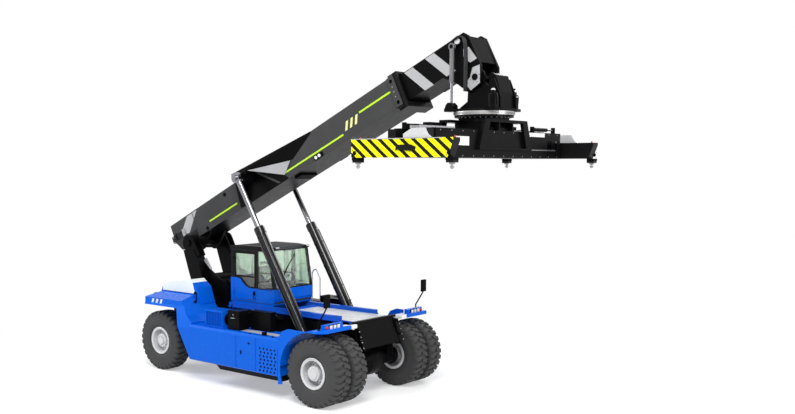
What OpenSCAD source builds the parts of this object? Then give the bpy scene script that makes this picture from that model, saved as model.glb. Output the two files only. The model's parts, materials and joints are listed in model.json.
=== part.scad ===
// Reach stacker: a container handler with a sliding telescopic boom over a
// four-wheel-steer-at-the-rear chassis, a sliding cab and a 20/40 ft top-lift spreader.
// X runs forward, Y to the left, Z up. Millimetres.

/* [Running gear] */
// Drive axle to steer axle
wheelbase = 5950; // [5400:50:6600]
// Centre plane of the inner drive tyres, from the middle
twin_inner_y = 1205; // [1150:5:1300]
// Distance between the two tyres of a drive pair
twin_pitch = 600; // [540:10:700]
// Centre plane of the steered tyres, from the middle
steer_y = 1370; // [1300:10:1500]
// Tyre diameter
tyre_d = 1615; // [1450:5:1750]
// Tyre width
tyre_w = 496; // [400:4:520]
// Diameter over the rim flanges
rim_d = 740; // [660:10:800]
// Kingpin plane, from the middle
kingpin_y = 985; // [940:5:1040]

/* [Chassis] */
// Width over the main beams
frame_w = 1600; // [1400:20:1700]
// Width of one main beam
beam_w = 240; // [160:10:300]
// Top of the main beams
frame_top = 1750; // [1600:10:1850]
// Underside of the main beams between the axles
frame_bottom = 1000; // [900:10:1150]
// Plate and beam wall
plate_t = 30; // [16:2:50]
// Outer face of the side tanks, from the middle
body_half_w = 2090; // [1950:10:2200]
// Width of one side tank
tank_w = 750; // [500:10:800]
// Length of one side tank
tank_l = 3140; // [2800:20:3300]
// Height of one side tank
tank_h = 900; // [700:10:1000]

/* [Boom] */
// Height of the boom pivot
pivot_z = 3420; // [3200:10:3600]
// Boom pivot behind the drive axle
pivot_back = 5720; // [5300:20:6000]
// Boom angle as parked
boom_angle = 25.5; // [10:0.5:50]
// Width of the outer boom
boom_w = 900; // [700:10:1000]
// Depth of the outer boom
boom_h = 730; // [600:10:850]
// Underside of the outer boom above the pivot
boom_rise = 100; // [95:5:160]
// Outer boom wall
boom_wall = 20; // [12:1:30]
// Pivot to the front collar
boom_l = 7780; // [7000:20:8200]
// Boom tail behind the pivot
boom_tail = 800; // [600:20:1000]
// Gap between the two boom sections on every side
boom_gap = 44; // [36:2:60]
// Length of the inner boom ahead of the collar, as parked
inner_reach = 1500; // [1200:20:1800]

/* [Lift cylinders] */
// Cylinder plane, from the middle
lift_y = 970; // [940:5:1000]
// Cylinder barrel diameter
lift_barrel_d = 250; // [200:5:270]
// Cylinder rod diameter
lift_rod_d = 160; // [120:5:180]
// Foot pin to the barrel mouth
lift_barrel_l = 3120; // [2800:20:3200]

/* [Cab] */
// Outside width of the cab
cab_w = 1440; // [1300:10:1480]
// Outside length of the cab
cab_l = 1600; // [1400:20:1800]
// Underside of the cab floor
cab_floor_z = 1980; // [1970:10:2100]
// Top of the cab roof
cab_roof_z = 3480; // [3300:10:3500]
// Cab wall
cab_wall = 50; // [30:2:60]
// Glass thickness
glass_t = 8; // [5:1:12]

/* [Spreader] */
// Twistlock spacing across the container
lock_w = 2259; // [2259:1:2259]
// Twistlock spacing along a 20 ft container
lock_l = 5853; // [5853:1:5853]
// Underside of the end beams as parked
spreader_z = 5700; // [5500:10:5900]
// Height of the main frame
spreader_h = 580; // [400:10:600]
// Width of the main frame
spreader_w = 1000; // [800:10:1200]
// Slew ring diameter
ring_d = 1300; // [1000:20:1500]

/* [Hidden] */

blue = [0.07, 0.40, 0.95];
black = [0.06, 0.06, 0.07];
grey = [0.29, 0.29, 0.30];
silver = [0.78, 0.78, 0.80];
steel = [0.62, 0.62, 0.64];
yellow = [0.95, 0.92, 0.05];
glass = [0.72, 0.88, 0.75, 0.5];
rubber = [0.13, 0.13, 0.13];

running_gap = 0.6;            // round a pin or a rod
seat_gap = 0.3;             // between pieces of two bodies that bear on each other
axle_z = tyre_d / 2;
slew_x = 3200;              // slew axis ahead of the drive axle
head_pin_z = 7420;          // pin that the rotator hangs from
rear_reach = pivot_back + boom_tail * cos(boom_angle) + (boom_rise + boom_h) * sin(boom_angle);
front_reach = slew_x + lock_w / 2 + 90;
drive_x = (rear_reach - front_reach) / 2;
steer_x = -wheelbase;

twin_outer_y = twin_inner_y + twin_pitch;
pin_r = 90;                 // boom pivot pin
boom_top = boom_rise + boom_h;
boom_half = boom_w / 2;

// ---------------------------------------------------------------- helpers

// Puts the drive axle in its place, so that the machine stands centred on the origin
module rig() { translate([drive_x, 0, 0]) children(); }

// The boom's own frame: X along the boom from its pivot, Z square to it
module boom_frame() {
    rig() translate([-pivot_back, 0, pivot_z]) rotate([0, -boom_angle, 0]) children();
}

module both_sides() {
    children();
    mirror([0, 1, 0]) children();
}

// A plate with an outline in X and Z, from y0 to y0 + t
module side_plate(y0, t) {
    translate([0, y0 + t, 0]) rotate([90, 0, 0]) linear_extrude(t) children();
}

// A cylinder along Y, centred on y
module pin_y(r, y, w) { translate([0, y + w / 2, 0]) rotate([90, 0, 0]) cylinder(r = r, h = w); }

module box(x0, x1, y0, y1, z0, z1) { translate([x0, y0, z0]) cube([x1 - x0, y1 - y0, z1 - z0]); }

// A box that is the same on both sides of the middle
module mid_box(x0, x1, half, z0, z1) { box(x0, x1, -half, half, z0, z1); }

function arc(cx, cy, r, a0, a1, n) = [for (i = [0:n]) let (a = a0 + (a1 - a0) * i / n)
    [cx + r * cos(a), cy + r * sin(a)]];

// ---------------------------------------------------------------- wheels

bead_r = rim_d / 2 - 38;
hub_r = 215;

// Half a tyre's section in radius and width, mirrored and turned
module tyre(y) {
    r = tyre_d / 2;
    h = tyre_w / 2;
    translate([0, y, 0]) rotate([90, 0, 0]) rotate_extrude($fn = 96) polygon(concat(
        [[bead_r, -h * 0.72], [rim_d / 2 + 4, -h * 0.80], [r * 0.66, -h]],
        arc(r - 95, -h + 82, 82, -96, -20, 4), [[r, -h + 150], [r, h - 150]],
        arc(r - 95, h - 82, 82, 20, 96, 4),
        [[r * 0.66, h], [rim_d / 2 + 4, h * 0.80], [bead_r, h * 0.72]]));
}

// Barrel of the rim between its flanges
module rim_barrel(y) {
    h = tyre_w / 2;
    w = bead_r - seat_gap;
    f = rim_d / 2;
    translate([0, y, 0]) rotate([90, 0, 0]) rotate_extrude($fn = 96) polygon([
        [w - 26, -h * 0.84], [f, -h * 0.84 - 6], [f, -h * 0.80 - 3], [w, -h * 0.72 - 3],
        [w, h * 0.72 + 3], [f, h * 0.80 + 3], [f, h * 0.84 + 6], [w - 26, h * 0.84]]);
}

// Disc between the hub and the barrel
module rim_disc(y, dish) {
    w = bead_r - seat_gap;
    translate([0, y, 0]) rotate([-90, 0, 0]) rotate_extrude($fn = 96) polygon([
        [hub_r - 60, dish], [hub_r + 10, dish], [w - 20, 0], [w - 20, -22], [hub_r, dish - 24],
        [hub_r - 60, dish - 24]]);
}

module drive_tyres(s) {
    color(rubber) rig() translate([0, 0, axle_z]) for (y = [twin_inner_y, twin_outer_y]) tyre(s * y);
}

// Twin rims on the planetary hub, which turns with them
module drive_rims(s) {
    hub_end = twin_outer_y + tyre_w * 0.36;
    hub_start = 987 + seat_gap;
    color(silver) rig() translate([0, 0, axle_z]) mirror([0, s > 0 ? 0 : 1, 0]) {
        for (y = [twin_inner_y, twin_outer_y]) rim_barrel(y);
        rim_disc(twin_inner_y + 40, 30);
        rim_disc(twin_outer_y - 40, 60);
        pin_y(hub_r - 40, (hub_start + hub_end) / 2, hub_end - hub_start);
        pin_y(hub_r - 90, hub_end + 20, 40);
    }
}

module steered_tyre(s) { color(rubber) rig() translate([steer_x, 0, axle_z]) tyre(s * steer_y); }

module steered_rim(s) {
    color(silver) rig() translate([steer_x, 0, axle_z]) mirror([0, s > 0 ? 0 : 1, 0]) {
        rim_barrel(steer_y);
        rim_disc(steer_y + 30, 60);
        pin_y(hub_r - 40, steer_y + 70, 180 + 4 - 2 * seat_gap);
        pin_y(hub_r - 100, steer_y + 180, 40);
    }
}

// ---------------------------------------------------------------- axles

module drive_axle() {
    color(black) rig() translate([0, 0, axle_z]) {
        rotate([90, 0, 0]) rotate_extrude($fn = 96) polygon([
            [0, -940], [230, -940], [230, -880], [175, -850], [165, -480], [200, -420],
            [330, -190], [345, -60], [345, 60], [330, 190], [200, 420], [165, 480],
            [175, 850], [230, 880], [230, 940], [0, 940]]);
        both_sides() {
            pin_y(150, 962, 50);
            box(-170, 170, 560, 800, 100, frame_bottom + 160 - axle_z);
        }
    }
}

knuckle_h = 300;

module steer_axle() {
    color(black) rig() translate([steer_x, 0, axle_z]) difference() {
        union() {
            mid_box(-170, 170, 760, -190, 130);
            both_sides() for (z = [-knuckle_h / 2 - 90, knuckle_h / 2 + 10])
                box(-110, 110, 700, kingpin_y + 75, z, z + 80);
            both_sides() box(-110, 110, 700, 775, -knuckle_h / 2 - 90, knuckle_h / 2 + 90);
            mid_box(-300, 300, 330, -60, frame_bottom + 60 - seat_gap - axle_z);
        }
        both_sides() translate([0, kingpin_y, -400]) cylinder(r = 45 + running_gap, h = 800);
    }
}

// Knuckle with its kingpin and spindle
module knuckle(s) {
    color(steel) rig() translate([steer_x, 0, axle_z]) mirror([0, s > 0 ? 0 : 1, 0]) {
        translate([0, kingpin_y, -knuckle_h / 2 - 100]) cylinder(r = 45, h = knuckle_h + 200);
        translate([0, kingpin_y, -knuckle_h / 2]) cylinder(r = 85, h = knuckle_h);
        pin_y(110, kingpin_y + 120, 150);
        pin_y(75, (kingpin_y + steer_y - 22) / 2, steer_y - 22 - kingpin_y);
        translate([-260, kingpin_y - 30, -60]) cube([260, 60, 50]);
    }
}

// ---------------------------------------------------------------- chassis

beam_in = frame_w / 2 - beam_w;
tail_half = 440;            // rear beams, clear of the steered tyres at full lock
tail_start = steer_x + 1050;         // where the beams step in
tail_rear = steer_x - 350;          // where the counterweight takes over

// Main beams, cross boxes and the narrow tail that the counterweight closes
module chassis_frame() {
    front = 300;
    color(black) rig() {
        both_sides() {
            side_plate(beam_in, beam_w) polygon([
                [front + 60, frame_bottom + 230], [front - 70, frame_top - 20], [front - 110, frame_top],
                [tail_start - 60, frame_top], [tail_start - 60, frame_bottom + 60],
                [-4300, frame_bottom], [-1100, frame_bottom], [-700, frame_bottom + 160],
                [150, frame_bottom + 160]]);
            side_plate(tail_half - beam_w, beam_w) polygon([
                [tail_start, frame_top], [tail_rear, frame_top], [tail_rear, frame_bottom + 60],
                [tail_start, frame_bottom + 60]]);
            lift_foot();
        }
        mid_box(tail_start - 60, tail_start + 190, frame_w / 2, frame_bottom + 60, frame_top);
        mid_box(-3600, -3350, beam_in, frame_bottom, frame_top - 60);
        mid_box(-1500, -1250, beam_in, frame_bottom, frame_top - 60);
        front_plate();
    }
}

// Leaning cross plate between the drive wheels, with a tube along its top and cheek plates
module front_plate() {
    half = frame_w / 2 - 90;
    top = frame_top + 90;
    side_plate(-half, 2 * half) polygon([
        [185, top], [185 + plate_t, top], [440 + plate_t, frame_bottom + 240], [440, frame_bottom + 220]]);
    translate([200, 0, top]) pin_y(38, 0, frame_w + 20);
    mid_box(130, 200, half, top - 60, top);
    both_sides() {
        side_plate(half - 30, 60) polygon([
            [60, top - 40], [250, top - 40], [350, frame_top - 90], [440, frame_top - 420],
            [500, frame_bottom + 210], [380, frame_bottom + 170], [60, frame_bottom + 170]]);
        for (z = [frame_top - 10, frame_top - 330]) translate([z > frame_top - 100 ? 290 : 400, 0, z])
            pin_y(46, half + 55, 70);
    }
}

lift_foot_x = -1120;
lift_foot_z = 1300;

// Ears that hold a lift cylinder's foot pin
module lift_foot() {
    r = 130;
    inner = frame_w / 2 - 1;
    outer = lift_y + lift_barrel_d / 2 + 5;
    difference() {
        union() {
            for (ear = [[inner, lift_y - lift_barrel_d / 2 - 2 - inner], [outer, 44]])
                translate([lift_foot_x, 0, lift_foot_z]) hull() {
                    pin_y(r, ear[0] + ear[1] / 2, ear[1]);
                    translate([-60, ear[0], -320]) cube([140, ear[1], 40]);
                }
            box(lift_foot_x - 90, lift_foot_x + 70, inner, outer + 44,
                lift_foot_z - 330, lift_foot_z - 280);
        }
        translate([lift_foot_x, 0, lift_foot_z]) pin_y(58 + running_gap, lift_y, 500);
    }
}

// Leaning box columns that carry the boom, with heads, a cross tube and swept gussets
module boom_towers() {
    head_in = boom_half + 20;
    head_out = 750;
    px = -pivot_back;
    color(black) rig() {
        both_sides() {
            difference() {
                union() {
                    side_plate(head_in, head_out - head_in) polygon([
                        [px - 190, pivot_z - 200], [px + 230, pivot_z - 160], [px + 420, pivot_z - 460],
                        [-4880, frame_top + seat_gap], [-5310, frame_top + seat_gap], [-5680, 2600]]);
                    for (y = [head_in + 20, head_out - 60]) translate([px, 0, pivot_z]) hull() {
                        pin_y(230, y + 20, 40);
                        translate([-40, y, -330]) cube([460, 40, 40]);
                    }
                    side_plate(head_out - 230, 40) polygon([
                        [-5270, 2940], [-5020, 2720], [-4640, 2500], [-4420, 2440], [-4330, 2300],
                        [-4330, frame_top + seat_gap], [-5000, frame_top + seat_gap]]);
                }
                translate([px, 0, pivot_z]) pin_y(pin_r + running_gap, 600, 500);
            }
        }
        translate([-5150, 0, 2450]) pin_y(150, 0, 2 * head_in + 2);
        translate([px, 0, pivot_z]) pin_y(pin_r, 0, 2 * head_out + 40);
    }
}

// Casting between and above the steered tyres
module counterweight() {
    low = 480;
    x = tail_rear - seat_gap;
    color(black) rig() {
        side_plate(-low, 2 * low) polygon(concat(
            [[x, 620], [x, frame_top], [tail_rear - 340, frame_top]],
            arc(tail_rear - 260, 800, 190, 180, 250, 4), [[tail_rear - 260, 620]]));
        side_plate(-1250, 2500) polygon([
            [hood_rear - seat_gap, frame_top + seat_gap], [hood_rear - seat_gap, 2040],
            [tail_rear - 260, 2040], [tail_rear - 380, 1960], [tail_rear - 380, 1800],
            [tail_rear - 320, frame_top + seat_gap]]);
    }
}

hood_half = 1870;
hood_rear = steer_x - 240;
hood_wall = 30;
lid_half = 1310;
well = 800;                 // half width of the room round the columns

// Side outline of the raised lid over the power pack
module lid_outline(inset) {
    polygon(concat([[hood_rear + inset, 1900], [hood_rear + inset, 2130 - inset]],
        arc(hood_rear + 250 + inset, 2150, 220 - inset, 165, 105, 4),
        arc(steer_x + 910, 2420, 100 - inset, 95, 40, 4),
        [[steer_x + 1210 - inset, 2330], [steer_x + 1370 - inset, 1900]]));
}

// Mudguard over the steered wheels, running down into the tank as a strip
module guard_outline() {
    x = tank_rear - seat_gap;
    polygon([[hood_rear, 1830], [hood_rear, 2040], [hood_rear + 90, 2130],
        [steer_x + 1150, 2130], [steer_x + 1520, 1700], [x, tank_top + 40], [x, tank_floor],
        [x - 25, tank_floor], [steer_x + 1310, 1370], [steer_x + 1070, 1830]]);
}

// Section across the mudguards, which slope in from their outer edge
module guard_section(inset) {
    y = hood_half - inset;
    polygon([[-y - 190, 0], [y + 190, 0], [y + 190, 1400], [y, 1900], [y, 2030 - inset],
        [lid_half + 90, 2130 - inset], [-lid_half - 90, 2130 - inset], [-y, 2030 - inset],
        [-y, 1900], [-y - 190, 1400]]);
}

module across() { rotate([90, 0, 90]) translate([0, 0, -7000]) linear_extrude(4000) children(); }

// Hood over the power pack: mudguards, raised lid, open towards the wheels and the columns
module rear_hood() {
    w = hood_wall;
    color(blue) rig() difference() {
        union() {
            intersection() {
                side_plate(-body_half_w, 2 * body_half_w) guard_outline();
                across() guard_section(0);
            }
            side_plate(-lid_half, 2 * lid_half) lid_outline(0);
        }
        // room for the wheels and the power pack, walled off from the columns
        both_sides() {
            side_plate(well + w, lid_half - well - 2 * w) lid_outline(w);
            side_plate(well + w, hood_half - well - 2 * w) polygon([
                [hood_rear + w, 400], [hood_rear + w, 2000], [steer_x + 1160, 2000],
                [steer_x + 1490, 1660], [tank_rear - 2 * w, tank_top], [tank_rear - 2 * w, 400]]);
        }
        intersection() {
            side_plate(-well - w - 1, 2 * (well + w + 1)) lid_outline(w);
            box(hood_rear, steer_x - 10 - w, -lid_half, lid_half, 400, 2800);
        }
        box(hood_rear + w + 1, steer_x - 11 - w, -well - w - 1, well + w + 1, 400, 1950);
        // room for the leaning columns
        mid_box(steer_x - 10, -4000, well, 400, 2700);
    }
}

module engine_block() { color(grey) rig() mid_box(-4700, -3610, beam_in - seat_gap, 1150, frame_top - 80); }

tank_rear = -4160;
tank_floor = 600;
tank_top = tank_floor + tank_h + seat_gap;

// Side tank with a chamfered underside, hung from the main beam over a black-painted sill
module side_tank() {
    y1 = body_half_w;
    y0 = y1 - tank_w;
    x0 = tank_rear;
    x1 = tank_rear + tank_l;
    z0 = tank_floor;
    z1 = z0 + tank_h;
    rotate([90, 0, 90]) translate([0, 0, x0]) linear_extrude(tank_l) polygon([
        [y0, z0 + 60], [y1 - 170, z0], [y1 - 30, z0], [y1, z0 + 30], [y1, z1 - 50],
        [y1 - 50, z1], [y0, z1]]);
    // sill
    side_plate(y0 + 300, tank_w - 480) polygon([
        [x0 + 700, z0 + 30], [x0 + 950, z0 - 150], [x1 - 40, z0 - 150], [x1 - 40, z0 + 30]]);
    // hangers on the main beam
    for (x = [x0 + 300, x0 + 1350]) box(x, x + 120, frame_w / 2, y0 + 1, z1 - 350, z1 - 60);
    // step plate with slots, standing off the tank near its front
    difference() {
        box(x1 - 640, x1 - 20, y1 - 1, y1 + 8, z0 + 20, z1 - 210);
        for (i = [0:4], j = [0:6]) translate([x1 - 590 + i * 120 + (j % 2) * 30, y1 + 9, z0 + 85 + j * 88])
            rotate([90, 0, 0]) cylinder(r = 30, h = 9, $fn = 6);
    }
}

module side_tanks() { color(blue) rig() both_sides() side_tank(); }

fender_gap = 145;           // tyre to mudguard
fender_t = 24;
fender_top = axle_z + tyre_d / 2 + fender_gap + fender_t;

// Mudguard arc over a drive pair, a flat front that rises to a blunt lip, and a side skirt
module front_fender() {
    y0 = 870;
    y1 = body_half_w + 10;
    r = tyre_d / 2 + fender_gap;
    x_tank = tank_rear + tank_l + 2;
    top = fender_top;
    difference() {
        union() {
            side_plate(y0, y1 - y0) polygon(concat(
                [[250, top + 50], [370, top + 65], [380, top + 50], [380, top - 20], [360, top - 28],
                 [180, top - fender_t - 6]],
                arc(0, axle_z, r, 82, 176, 14), reverse(arc(0, axle_z, r + fender_t, 90, 176, 14)),
                [[20, top + 20], [140, top + 20]]));
            side_plate(y1 - fender_t, fender_t) polygon(concat(
                [[x_tank, 430], [x_tank, 1500], [x_tank + 120, top - 90], [x_tank + 330, top - 8]],
                arc(0, axle_z, r + 2, 92, 202, 14)));
            // stay to the main beam
            box(-500, 250, frame_w / 2, y0 + 1, top - fender_t - 60, top - fender_t + 1);
        }
        // the lift cylinder passes behind the skirt
        box(-1300, -880, 800, 1260, 400, 1900);
        // front corner, cut back in plan
        translate([0, 0, 1500]) linear_extrude(600) polygon([
            [120, y1 + 1], [390, y1 + 1], [390, y1 - 170]]);
    }
    // lamp block on the lip
    side_plate(1260, 630) polygon([
        [150, top + 20], [150, top + 150], [235, top + 165], [262, top + 150], [275, top + 40]]);
}

function reverse(v) = [for (i = [len(v) - 1:-1:0]) v[i]];

module front_fenders() { color(blue) rig() both_sides() front_fender(); }

rail_z = 1810;
rail_h = 140;
rail_y = 640;
walk_x = [-3960, -3060];    // walkway from the tank to the cab door
walk_y = 1290;

// Cab rails on bearers, the plate ahead of the cab and the walkway on the driver's side
module deck() {
    x0 = -4100;
    x1 = -280;
    low = frame_top + seat_gap;
    color(blue) rig() {
        both_sides() {
            box(x0, x1, rail_y, rail_y + 110, rail_z, rail_z + rail_h);
            for (x = [x0 + 20, -3000, -1700, x1 - 200])
                box(x, x + 180, rail_y, rail_y + 110, low, rail_z + 1);
            box(x0, x1, rail_y + 109, rail_y + 150, rail_z + 20, rail_z + 45);
        }
        for (x = [x0 + 100, -3200, -2300]) mid_box(x, x + 100, rail_y + 1, low, rail_z + 90);
        mid_box(-2200, x1 + 330, rail_y + 1, rail_z + 10, rail_z + 40);
        mid_box(x1 + 230, x1 + 330, rail_y + 1, low, rail_z + 11);
        box(walk_x[0], walk_x[1], rail_y + 60, walk_y, low, frame_top + 30);
    }
}

module condenser() {
    color(blue) rig() mirror([0, 1, 0]) difference() {
        box(-3680, -3040, 1560, 1960, tank_top, 1940);
        for (i = [0:5]) box(-3640 + i * 100, -3570 + i * 100, 1900, 1961, 1530, 1890);
    }
}

// Black cabinets on the tanks and the valve housing behind the cab
module equipment_boxes() {
    color(black) rig() {
        both_sides() {
            box(-2920, -2520, 1560, 1900, tank_top, 1960);
            box(-2480, -1800, 1350, 1540, tank_top, 1960);
        }
        box(-3680, -3100, 1680, 2000, tank_top, 1800);
        side_plate(-480, 960) polygon([
            [-4800, frame_top + seat_gap], [-4240, frame_top + seat_gap], [-4240, 2350],
            [-4400, 2480], [-4800, 2480]]);
    }
}

rail_r = 17;

// Straight tube between two points of an X, Z outline
module tube(a, b) {
    translate([a[0], 0, a[1]]) rotate([0, atan2(b[0] - a[0], b[1] - a[1]), 0])
        cylinder(r = rail_r, h = norm(b - a));
}

// Bent tube along an outline, with a swelling at every bend
module bent_tube(pts) {
    for (i = [1:len(pts) - 1]) tube(pts[i - 1], pts[i]);
    for (i = [1:len(pts) - 2]) translate([pts[i][0], 0, pts[i][1]]) sphere(r = rail_r + 2);
}

// Two loops on the driver's tank, the front one with its corner cut down
module handrails() {
    z = tank_top;
    y = 1620;               // clear of the open cab door
    color(silver) rig() translate([0, y, 0]) {
        bent_tube([[-3850, z], [-3850, 2740], [-3780, 2810], [-3400, 2810], [-3330, 2740], [-3330, z]]);
        tube([-3850, 2330], [-3330, 2330]);
        bent_tube([[-3260, z], [-3260, 2580], [-3200, 2670], [-3120, 2690], [-2970, 2450], [-2970, z]]);
    }
}

// Mirror heads on bent stalks
module mirrors() {
    z = fender_top + 20 + seat_gap;
    color(black) rig() both_sides() {
        translate([80, 1880, z]) cylinder(r = 40, h = 20);
        translate([80, 1880, 0]) bent_tube([[0, z + 15], [0, z + 180], [190, z + 470], [240, z + 560]]);
        difference() {
            translate([290, 1795, z + 540]) cube([55, 170, 300]);
            translate([280, 1810, z + 560]) cube([16, 140, 260]);
        }
    }
}

// ---------------------------------------------------------------- cab

cab_x0 = -4050;
cab_x1 = cab_x0 + cab_l;
cab_half = cab_w / 2;
belt_z = cab_floor_z + 420;
belt_rear_z = cab_floor_z + 640;
door_x0 = cab_x0 + 110;
door_x1 = cab_x0 + 930;
door_z0 = cab_floor_z + 60;
door_z1 = cab_roof_z - 150;
door_gap = 6;

// Side outline of the cab
module cab_profile(inset) {
    polygon([[cab_x0 + inset, cab_floor_z + inset], [cab_x1 - 60 - inset, cab_floor_z + inset],
        [cab_x1 - inset, cab_floor_z + 160], [cab_x1 - inset, belt_z],
        [cab_x1 - 170 - inset, cab_roof_z - 25 - inset], [cab_x0 + 30 + inset, cab_roof_z - 25 - inset],
        [cab_x0 + inset, belt_rear_z]]);
}

// Closed cab body with its room cut out
module cab_body() {
    difference() {
        side_plate(-cab_half, cab_w) cab_profile(0);
        side_plate(-cab_half + cab_wall, cab_w - 2 * cab_wall) cab_profile(cab_wall);
    }
}

// Everything under the belt line, which sweeps up at the back
module below_belt() {
    side_plate(-cab_half - 5, cab_w + 10) polygon(concat(
        [[cab_x0 - 5, cab_floor_z - 5], [cab_x1 + 5, cab_floor_z - 5], [cab_x1 + 5, belt_z],
         [cab_x0 + 900, belt_z - 20]],
        reverse(arc(cab_x0 + 760, belt_z + 415, 440, 211, 270, 8)),
        [[cab_x0 + 250, belt_rear_z], [cab_x0 - 5, belt_rear_z]]));
}

module door_opening(grow) {
    box(door_x0 - grow, door_x1 + grow, cab_half - cab_wall - 20, cab_half + 20,
        door_z0 - grow, door_z1 + grow);
}

module window_x(x0, x1, z0, z1) { box(x0, x1, cab_half - cab_wall - 20, cab_half + 20, z0, z1); }

// Front, rear, roof and side window openings of the fixed cab
module cab_windows() {
    box(cab_x1 - 330, cab_x1 + 40, -cab_half + 70, cab_half - 70, belt_z + 30, cab_roof_z - 110);
    box(cab_x0 - 40, cab_x0 + 90, -cab_half + 110, cab_half - 110, belt_rear_z + 20, cab_roof_z - 150);
    both_sides() side_plate(cab_half - cab_wall - 20, cab_wall + 40) polygon([
        [door_x1 + 70, belt_z - 10], [cab_x1 - 80, belt_z + 30], [cab_x1 - 220, cab_roof_z - 120],
        [door_x1 + 70, cab_roof_z - 120]]);
}

module cab_base() {
    color(blue) rig() {
        difference() {
            intersection() { cab_body(); below_belt(); }
            both_sides() door_opening(door_gap);
        }
        both_sides() intersection() {
            hinge_barrels(true);
            box(cab_x0, cab_x1, 0, 900, cab_floor_z, belt_rear_z - 1);
        }
        // runners on the rails
        both_sides() box(cab_x0 + 60, cab_x1 - 80, rail_y + 10, rail_y + 75,
            rail_z + rail_h + seat_gap, cab_floor_z + 1);
    }
}

module cab_shell() {
    color(black) rig() {
        difference() {
            cab_body();
            below_belt();
            both_sides() door_opening(door_gap);
            cab_windows();
        }
        // roof cap with a low dome and a small overhang
        side_plate(-cab_half - 18, cab_w + 36) polygon([
            [cab_x0 - 4, cab_roof_z - 80], [cab_x0 + 8, cab_roof_z - 32], [cab_x0 + 260, cab_roof_z],
            [cab_x1 - 520, cab_roof_z], [cab_x1 - 150, cab_roof_z - 36], [cab_x1 - 128, cab_roof_z - 84],
            [cab_x1 - 200, cab_roof_z - 80]]);
        both_sides() intersection() {
            hinge_barrels(true);
            box(cab_x0, cab_x1, 0, 900, belt_rear_z, cab_roof_z);
        }
    }
}

module cab_glass() {
    g = seat_gap;
    color(glass) rig() {
        intersection() {
            difference() {
                side_plate(-cab_half + 70 + g, cab_w - 2 * (70 + g)) cab_profile(12);
                side_plate(-cab_half, cab_w) cab_profile(12 + glass_t);
            }
            box(cab_x1 - 330, cab_x1 + 40, -cab_half, cab_half, belt_z + 30 + g, cab_roof_z - 110 - g);
        }
        intersection() {
            difference() {
                side_plate(-cab_half + 110 + g, cab_w - 2 * (110 + g)) cab_profile(12);
                side_plate(-cab_half, cab_w) cab_profile(12 + glass_t);
            }
            box(cab_x0 - 40, cab_x0 + 90, -cab_half, cab_half, belt_rear_z + 20 + g,
                cab_roof_z - 150 - g);
        }
        both_sides() side_plate(cab_half - 24, glass_t) polygon([
            [door_x1 + 70 + g, belt_z - 10 + g], [cab_x1 - 80 - 2 * g, belt_z + 30 + g],
            [cab_x1 - 220 - 2 * g, cab_roof_z - 120 - g], [door_x1 + 70 + g, cab_roof_z - 120 - g]]);
    }
}

module driver_seat() {
    z = cab_floor_z + cab_wall;
    color(black) rig() {
        mid_box(-3450, -3050, 200, z + seat_gap, z + 300);
        mid_box(-3520, -3000, 260, z + 300, z + 430);
        side_plate(-250, 500) polygon([
            [-3520, z + 380], [-3420, z + 430], [-3520, z + 1000], [-3600, z + 1000]]);
        mid_box(-2760, -2620, 220, z + seat_gap, z + 560);
    }
}

door_win = [door_x0 + 60, door_x1 - 50, belt_z, door_z1 - 50];
belt_lip = 45;              // frame between the belt and the door window

module door() {
    difference() {
        intersection() { cab_body_side(); door_opening(0); }
        difference() {
            window_x(door_win[0], door_win[1], door_win[2], door_win[3]);
            translate([0, 0, belt_lip]) below_belt();
        }
    }
}

module cab_body_side() { box(cab_x0, cab_x1, cab_half - cab_wall, cab_half, cab_floor_z, cab_roof_z); }

module door_glass() {
    g = seat_gap;
    difference() {
        box(door_win[0] + g, door_win[1] - g, cab_half - 30, cab_half - 30 + glass_t, door_win[2] + g,
            door_win[3] - g);
        translate([0, 0, belt_lip + g]) below_belt();
    }
}

hinge_r = 13;
hinge_x = door_x0 - door_gap / 2;
hinge_y = cab_half + hinge_r + 1;

// Two hinges: the middle length of each belongs to the door, the outer ones to the cab
module hinge_barrels(outer) {
    h = 30;
    for (z = [door_z0 + 160, door_z1 - 240]) translate([hinge_x, hinge_y, z]) {
        for (dz = outer ? [0, 2 * h] : [h]) translate([0, 0, dz]) {
            cylinder(r = hinge_r, h = h - seat_gap);
            translate([outer ? -40 : 0, -hinge_r - 2, 0]) cube([40, 8, h - seat_gap]);
        }
    }
}

module left_door() {
    color(blue) rig() {
        door();
        hinge_barrels(false);
    }
}

module right_door() {
    color(blue) rig() mirror([0, 1, 0]) {
        door();
        hinge_barrels(false);
    }
}
module left_door_glass() { color(glass) rig() door_glass(); }
module right_door_glass() { color(glass) rig() mirror([0, 1, 0]) door_glass(); }

// ---------------------------------------------------------------- boom

collar_l = 260;
tail_cut = 200;             // end of the chamfered tail, ahead of the pivot

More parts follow.
